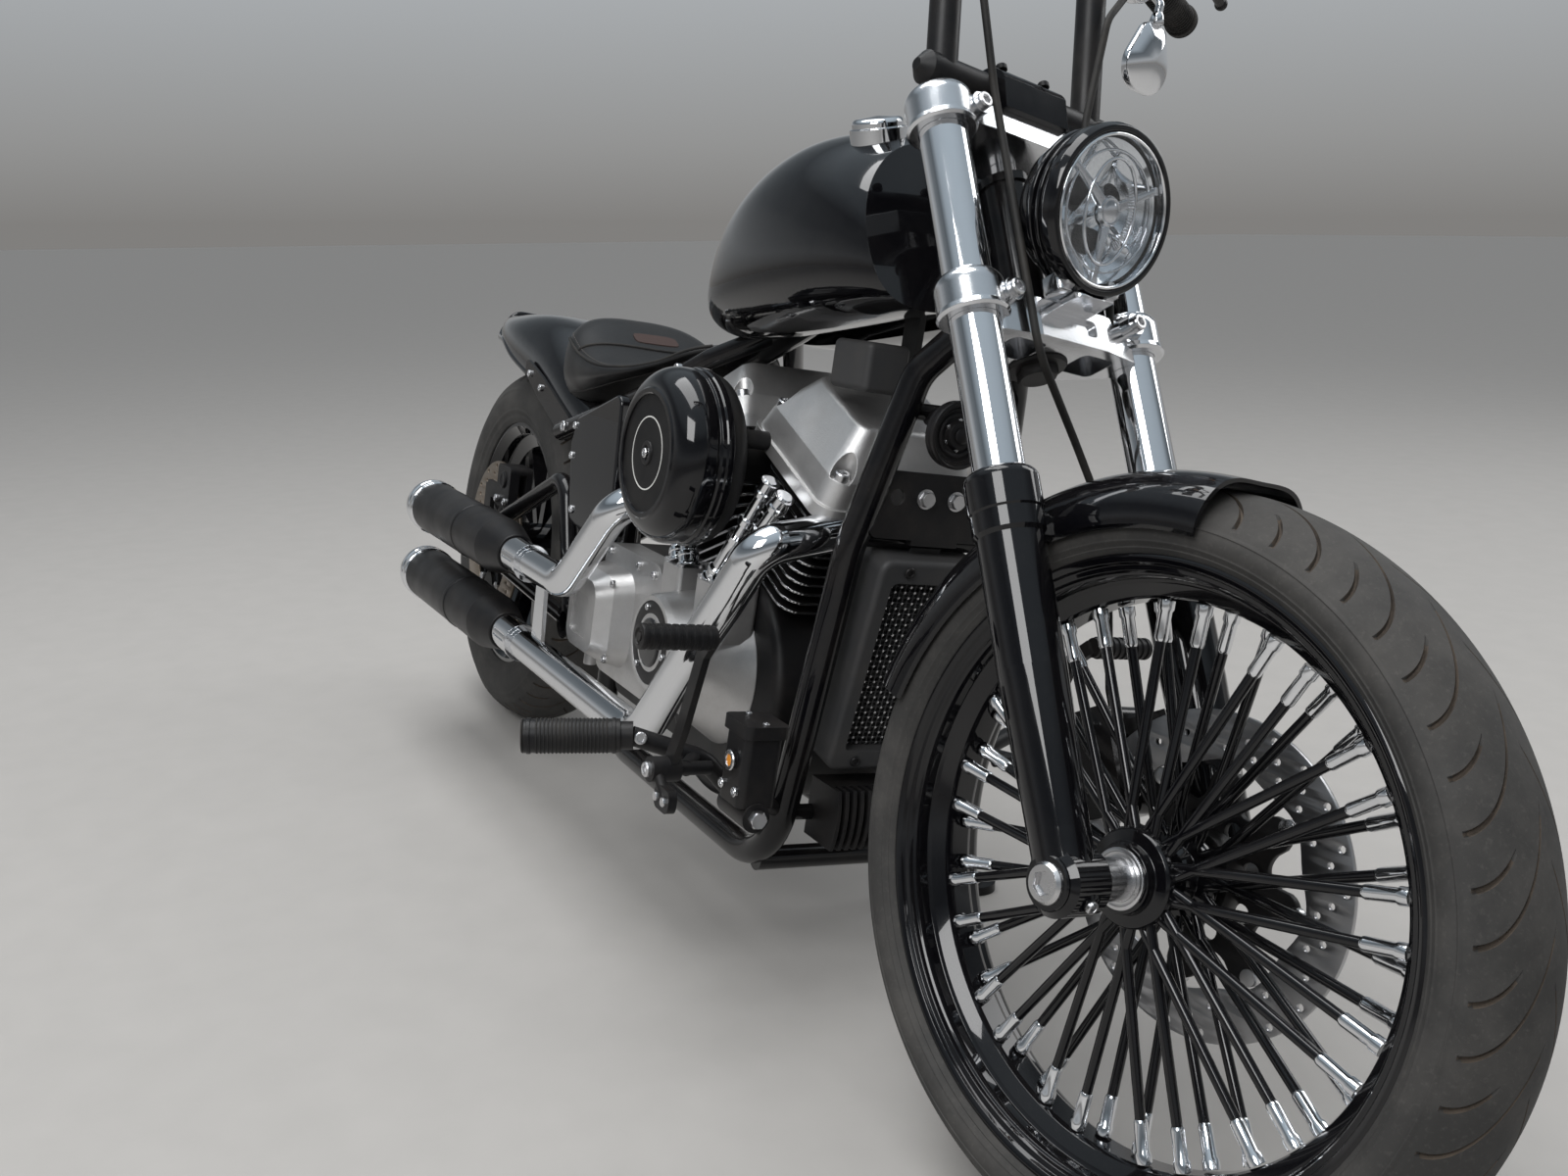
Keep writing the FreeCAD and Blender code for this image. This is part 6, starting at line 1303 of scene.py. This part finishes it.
def pushrodRings():
    # stepped collars turned about each tube's line at its two ends, and a sleeve between
    footFlange = ringOf([(8, -2), (15, -2), (15.5, 0.5), (15, 3), (12.5, 4), (12.2, 12), (13.4, 13),
                         (13.4, 18), (12, 19), (10.4, 21), (8, 21)], 40)
    headCap = ringOf([(7, -26), (11.2, -25), (12.4, -23), (12.4, -17), (11, -15), (11, -4), (12.4, -2),
                      (7, -2)], 40)
    springSleeve = ringOf([(8, 0), (10.8, 1), (11.6, 3), (11.6, 9), (10.8, 11), (8, 12)], 40, bevel=0.4)
    middle = engine["crank"][0]
    rings = []
    for side in (-1, 1):
        for spot in (0, 1):
            foot = np.array((middle + side * (tappets["near"] + tappets["step"] * spot), tappets["side"],
                             tappets["top"]))
            head = np.array((middle + side * (tappets["headNear"] + tappets["headStep"] * spot),
                             tappets["headSide"], tappets["headTop"] - tappets["headDrop"] * spot))
            way = head - foot
            rings += [moved(footFlange, aimed(foot, way)), moved(headCap, aimed(head, way)),
                      moved(springSleeve, aimed(foot + way * tappets["spring"], way))]
    screws = screwsAt(5, 5, upWay, [(middle + side * x, y, tappets["top"]) for side in (-1, 1)
                                    for x in tappets["screws"] for y in tappets["screwSides"]])
    return [(joined(rings), chromePlate), (screws, boltSteel)]


def rightScrews(radius, height, face, spots):
    return screwsAt(radius, height, rightWay, [(x, face, z) for x, z in spots])


# rows of (radius, height, face, (x, z) of each screw): on the right only, then on both sides
coverRows = [(5.2, 5, -145.5, ((582, 288), (700, 288), (582, 396), (700, 396))),
             (6.2, 5, -117.5, ((770, 424), (716, 426), (612, 428), (772, 300)))]
pairedRows = [(6, 4, -147.5, ((489, 590), (487, 545), (511, 468))), (9, 7, -126, ((387, 578),)),
              (7, 5, -111.5, ((330, 572),)), (6, 5, -111.5, ((150, 640), (212, 622))),
              (8, 8, -88, ((700, 698),))]
# rows of (radius, height, ring's radius, its centre, the screws' angles)
primaryRows = [(5.5, 4, 95, (950, 188, 335), (-80, -40, 0, 40, 80)),
               (5.5, 4, 95, (668, 188, 340), (100, 140, 180, 220, 260)),
               (4.5, 3, 66, (668, 196.5, 340), (90, 162, 234, 306, 18)),
               (4, 3, 35, (930, 194.5, 335), (45, 135, 225, 315))]


def sideScrews():
    sidePanel, *rails, nose = [rightScrews(*row) for row in pairedRows]
    return joined(*[rightScrews(*row) for row in coverRows], bothSides(sidePanel), bothSides(joined(rails)),
                  bothSides(nose))


def primaryScrews():
    # screws on circles, at the angles of each row
    return joined([screwsAt(radius, height, leftWay, [(x + ring * math.cos(t), y, z + ring * math.sin(t))
                                                      for t in np.radians(degrees)])
                   for radius, height, ring, (x, y, z), degrees in primaryRows])


chassisPiece("pushrod_rings", pushrodRings())
chassisPiece("side_screws", [(sideScrews(), boltSteel)])
chassisPiece("primary_screws", [(primaryScrews(), boltSteel)])

horn = {"place": (1288, -34, 688), "rivets": 6, "ring": 15.5}


def hornParts():
    # rings of small profiles turned about the horn's middle, and rivets at even angles
    rings = joined(turned([(0, 4.5), (8, 4.8), (8.5, 7), (6, 8.6), (0, 8.8)], 40),
                   turned([(19, -2.5), (24, -2.5), (24, -0.6), (22, 0.4), (19, -0.6)], 64, closed=True),
                   ringOf([(27.5, -1), (30.5, 1.5), (33, 4.4), (35.6, 3.4), (35.6, -4), (27.5, -4)], 72,
                          bevel=0.6))
    rivets = copies(turned([(0, -2.2), (2.4, -2.2), (2.2, -0.6), (0, 0)], 16),
                    [turnBy(360 // horn["rivets"] * index, "Z") @ shiftBy(horn["ring"], 0, 0)
                     for index in range(horn["rivets"])])
    return [(rings, satinBlack), (rivets, boltSteel)]


makePiece("horn_rings", hornParts(), frames["bike"] @ aimed(horn["place"], frontWay, upWay), "chassis")

bracket = {"face": 1226.5, "half": 20, "level": 612, "lift": 0.3}
bracketSpots = [(bracket["face"], side * bracket["half"], bracket["level"]) for side in (-1, 1)]
bracketWashers = placed(turned([(0, 0), (11, 0), (11, 1.6), (0, 1.6)], 32), frontWay,
                        [(x + bracket["lift"], y, z) for x, y, z in bracketSpots])
chassisPiece("bracket_bolts",
             [(joined(placed(hexNut(9, 8), frontWay, bracketSpots), bracketWashers), boltSteel)])

core = {"centre": (1186, 0, 424), "tilt": 12, "wide": 52, "tall": 104, "pitch": 6.5, "depth": 14.5,
        "wire": 0.65, "thick": 1.0, "screws": (117, 34), "face": 29.5}
coreFrame = frames["bike"] @ shiftBy(*core["centre"]) @ turnBy(core["tilt"], "Y") @ faceAhead


def wireBar(x, y, wide, tall, low):
    return slab([(x - wide, y - tall), (x + wide, y - tall), (x + wide, y + tall), (x - wide, y + tall)], low,
                low + core["thick"])


def meshGuard():
    # flat wires both ways across the shroud's window, one layer on the other, a knot at every second crossing
    tall, wide, wire, depth = (core[key] for key in ("tall", "wide", "wire", "depth"))
    rows, columns = (np.arange(-half + core["pitch"] / 2, half, core["pitch"]) for half in (tall, wide))
    across = [wireBar(x, 0, wire, wide, depth - core["thick"]) for x in rows]
    upright = [wireBar(0, y, tall, wire, depth) for y in columns]
    knot = turned([(0, 0), (1.7, 0), (1.5, 0.8), (0, 1.1)], 8)
    places = [shiftBy(x, y, depth + 0.9) for index, x in enumerate(rows) for y in columns[index % 2::2]]
    high, out = core["screws"]
    screws = screwsAt(6.5, 3, upWay, [(x, y, core["face"]) for x in (-high, high) for y in (-out, out)])
    return [(joined(across + upright), greyPlastic), (copies(knot, places), boltSteel), (screws, satinBlack)]


makePiece("cooler_guard", meshGuard(), coreFrame, "chassis")
print("chassis dressed")

# Foot controls

peg = {"start": np.array((1096.0, -268.0, 306.0)), "end": np.array((1050.0, -378.0, 292.0)), "rings": 19,
       "first": 0.24, "last": 0.88, "bolt": (1111, -266, 308), "boltWay": (0.94, -0.3, 0.15),
       "pivot": (1152, -270, 286), "toe": (1228, -332, 452), "heel": (-265.5, 263), "heels": (1172, 1192)}
reservoir = {"side": -190, "lid": 365.8, "lidScrews": (1211, 1251), "sight": (1231, -216, 322),
             "nut": (1258, -190, 266), "screws": ((1216, 292), (1246, 292)), "face": -212}


def pegDressing():
    # rings turned about the peg at an even pitch, its end disc, a turned toe piece and the bolts
    way = peg["end"] - peg["start"]
    knurl = turned([(18, -1.3), (19.6, -0.9), (19.9, 0), (19.6, 0.9), (18, 1.3)], 40, closed=True)
    rings = placed(knurl, way, [peg["start"] + way * share
                                for share in np.linspace(peg["first"], peg["last"], peg["rings"])])
    end = turnedAt(peg["end"] - way / np.linalg.norm(way) * 0.5, way,
                   [(0, 0), (17, 0), (19.4, 1.4), (18, 3.2), (10, 3.8), (9, 2.6), (0, 2.4)], 48)
    toe = turnedAt(peg["toe"], rightWay, [(0, 0), (12.6, 0), (13.6, 1.2), (13, 3.4), (9, 4.2), (8, 2.4),
                                          (5, 2.2), (4.6, 4), (0, 4)], 40)
    bolts = joined(screwsAt(7, 5, peg["boltWay"], [peg["bolt"]]), screwsAt(8.5, 6, rightWay, [peg["pivot"]]),
                   placed(hexNut(5.5, 4), rightWay, [(x, *peg["heel"]) for x in peg["heels"]]))
    return [(bothSides(joined(rings, end)), gripRubber), (bothSides(toe), satinBlack),
            (bothSides(bolts), boltSteel)]


def reservoirDetails():
    # the lid's screws, a round sight glass in its ring, the line's nut and two bolts
    ring = turnedAt(reservoir["sight"], rightWay, [(6.2, -1), (10.6, -1), (11, 0.6), (10, 2), (6.6, 2),
                                                   (6.2, 1)], 40, closed=True)
    glass = turnedAt(reservoir["sight"], rightWay, [(0, 0), (6.4, 0), (6.4, 0.8), (0, 1.4)], 32)
    screws = joined(screwsAt(3.8, 2.4, upWay, [(x, reservoir["side"], reservoir["lid"])
                                               for x in reservoir["lidScrews"]]),
                    placed(hexNut(10, 8), frontWay, [reservoir["nut"]]),
                    rightScrews(5.5, 4, reservoir["face"], reservoir["screws"]))
    return [(joined(ring, screws), boltSteel), (glass, amberGlass)]


chassisPiece("peg_dressing", pegDressing())
chassisPiece("reservoir_details", reservoirDetails())
print("foot controls dressed")

# Rear wheel's drilled disc, and its caliper's bolts

rearRotor = {"outer": 146.0, "inner": 92.0, "carrier": 86.0, "near": 92.0, "far": 97.0, "bobbins": 6,
             "boss": (19, 56, 70.5), "screws": (40, 5)}
makePiece("rear_disc_dressed", discParts(rearRotor, wornSteel),
          frames["rearWheel"] @ aimed((0, 0, 0), rightWay, frontWay), "rear_wheel",
          ["rear_disc"])
caliperPot = turnedAt((88, -117.8, 448), rightWay, [(0, 0), (15, 0), (15, 2), (12, 3.4), (9, 2.2), (0, 2.2)],
                      48)
chassisPiece("caliper_details", [(rightScrews(7, 6, -117.5, ((64, 412), (110, 412))), boltSteel),
                                 (caliperPot, satinBlack)])

# The CAD pieces that stay take these finishes

nodeFinish = [
    (frameBlack, "frame swingarm front_caliper fender_struts stand_bracket side_stand"),
    (glossBlack, "fork_lowers bar_risers front_fender fuel_tank rear_fender primary_cover side_covers"),
    (glossBlack, "rear_wheel_casting"),
    (satinBlack, "handlebar bar_controls hand_levers crankcase cylinders voltage_regulator horn"),
    (satinBlack, "horn_bracket footpegs brake_pedal shift_lever brake_master_cylinder rear_caliper"),
    (satinBlack, "rear_pulley"), (mattBlack, "air_cleaner_base"), (greyPlastic, "oil_cooler coil_cover"),
    (chromePlate, "fork_tubes indicators fuel_cap pushrod_tubes exhaust_pipes"),
    (polishedAlloy, "lower_clamp upper_clamp"), (castAlloy, "rocker_covers cam_cover transmission_cover"),
    (boltSteel, "front_axle rear_axle"), (gripRubber, "grips control_cables drive_belt"),
]
for material, names in nodeFinish:
    for name in names.split():
        for slot in nodes[name].material_slots:
            slot.material = material
print("finishes set")

# Camera, light and floor

view = {"place": (2501.0, -905.8, 763.2), "yaw": 150.29, "pitch": -9.90, "roll": -8.23, "focal": 1461.5,
        "width": 1600.0, "sensor": 36.0}


def makeCamera():
    # yaw, pitch and roll in the bike's frame, then turned into the world with the bike
    yaw, pitch, roll = (math.radians(view[key]) for key in ("yaw", "pitch", "roll"))
    ahead = np.array([math.cos(pitch) * math.cos(yaw), math.cos(pitch) * math.sin(yaw), math.sin(pitch)])
    right = unit(np.cross(ahead, (0, 0, 1)))
    down = np.cross(ahead, right)
    turnedRight = math.cos(roll) * right + math.sin(roll) * down
    turnedDown = -math.sin(roll) * right + math.cos(roll) * down
    pose = np.eye(4)
    pose[:3, :3] = np.stack([turnedRight, -turnedDown, -ahead], 1)
    rotation = unit(frames["bike"][:3, :3].T).T
    world = np.eye(4)
    world[:3, :3] = rotation @ pose[:3, :3]
    world[:3, 3] = frames["bike"][:3, :3] @ np.array(view["place"]) + frames["bike"][:3, 3]
    data = bpy.data.cameras.new("photoCamera")
    data.sensor_width = view["sensor"]
    data.lens = view["focal"] * view["sensor"] / view["width"]
    data.clip_end = 100
    camera = bpy.data.objects.new("photoCamera", data)
    camera.matrix_world = Matrix(world.tolist())
    bpy.context.scene.collection.objects.link(camera)
    bpy.context.scene.camera = camera


makeCamera()

studio = {"floor": (0.42, 0.41, 0.395), "floorSize": 60.0, "ambient": (0.55, 0.55, 0.555),
          "heights": (0.0, 0.05, 0.14, 0.3, 0.46, 0.62, 1.0), "coolFull": 0.4, "warmGone": 0.1,
          "coolLoss": (0.22, 0.1, 0.0), "warmLoss": (0.0, 0.025, 0.06),
          "greys": (0.218, 0.3, 0.42, 0.2, 0.14, 0.42, 0.62)}


def makeFloor():
    size = studio["floorSize"]
    mesh = bpy.data.meshes.new("floor")
    mesh.from_pydata([(-size, -size, 0), (size, -size, 0), (size, size, 0), (-size, size, 0)], [],
                     [(0, 1, 2, 3)])
    floor = bpy.data.objects.new("floor", mesh)
    bpy.context.scene.collection.objects.link(floor)
    mesh.materials.append(finish("floorStone", studio["floor"], 0.62, grainLook=(6.0, 0.5, 0.0),
                                 patchColour=tuple(0.9 * part for part in studio["floor"])))


def softLamp(name, place, target, size, power):
    data = bpy.data.lights.new(name, "AREA")
    data.shape = "RECTANGLE"
    data.size, data.size_y = size
    data.energy = power
    lamp = bpy.data.objects.new(name, data)
    matrix = aimed(place, np.subtract(place, target))
    lamp.matrix_world = Matrix(matrix.tolist())
    bpy.context.scene.collection.objects.link(lamp)


def makeSky():
    # a plain wall that fades into the floor, a darker band above it and a bright ceiling for chrome to show
    world = bpy.data.worlds.new("studioWall")
    world.use_nodes = True
    bpy.context.scene.world = world
    tree = world.node_tree
    background = tree.nodes["Background"]
    direction = addNode(tree, "ShaderNodeTexCoord").outputs["Generated"]
    height = addNode(tree, "ShaderNodeSeparateXYZ", [(0, direction)]).outputs[2]
    rampNode = addNode(tree, "ShaderNodeValToRGB", [("Fac", height)])
    stops = rampNode.color_ramp.elements
    for place in studio["heights"][1:-1]:
        stops.new(place)
    for stop, place, grey in zip(stops, studio["heights"], studio["greys"]):
        stop.position = place
        cool, warm = min(place / studio["coolFull"], 1.0), max(1 - place / studio["warmGone"], 0.0)
        losses = zip(studio["coolLoss"], studio["warmLoss"])
        stop.color = (*(grey * (1 - chill * cool - glow * warm) for chill, glow in losses), 1.0)
    ramp = rampNode.outputs["Color"]
    path = addNode(tree, "ShaderNodeLightPath")
    seen = mathNode(tree, "MAXIMUM", path.outputs["Is Camera Ray"], path.outputs["Is Glossy Ray"])
    seen = mathNode(tree, "MAXIMUM", seen, path.outputs["Is Transmission Ray"])
    tree.links.new(mixed(tree, seen, (*studio["ambient"], 1.0), ramp), background.inputs["Color"])


makeFloor()
makeSky()
lamps = (("keyLamp", (2.8, -3.4, 4.2), (0.2, 0.0, 0.5), (2.4, 2.4), 150.0),
         ("fillLamp", (0.5, 4.6, 3.4), (0.0, 0.0, 0.5), (3.0, 2.0), 60.0),
         ("topLamp", (-0.6, -0.6, 5.0), (0.0, 0.0, 0.4), (4.0, 2.4), 140.0))
for lamp in lamps:
    softLamp(*lamp)
bpy.context.scene.view_settings.view_transform = "Standard"
print("camera and light set")
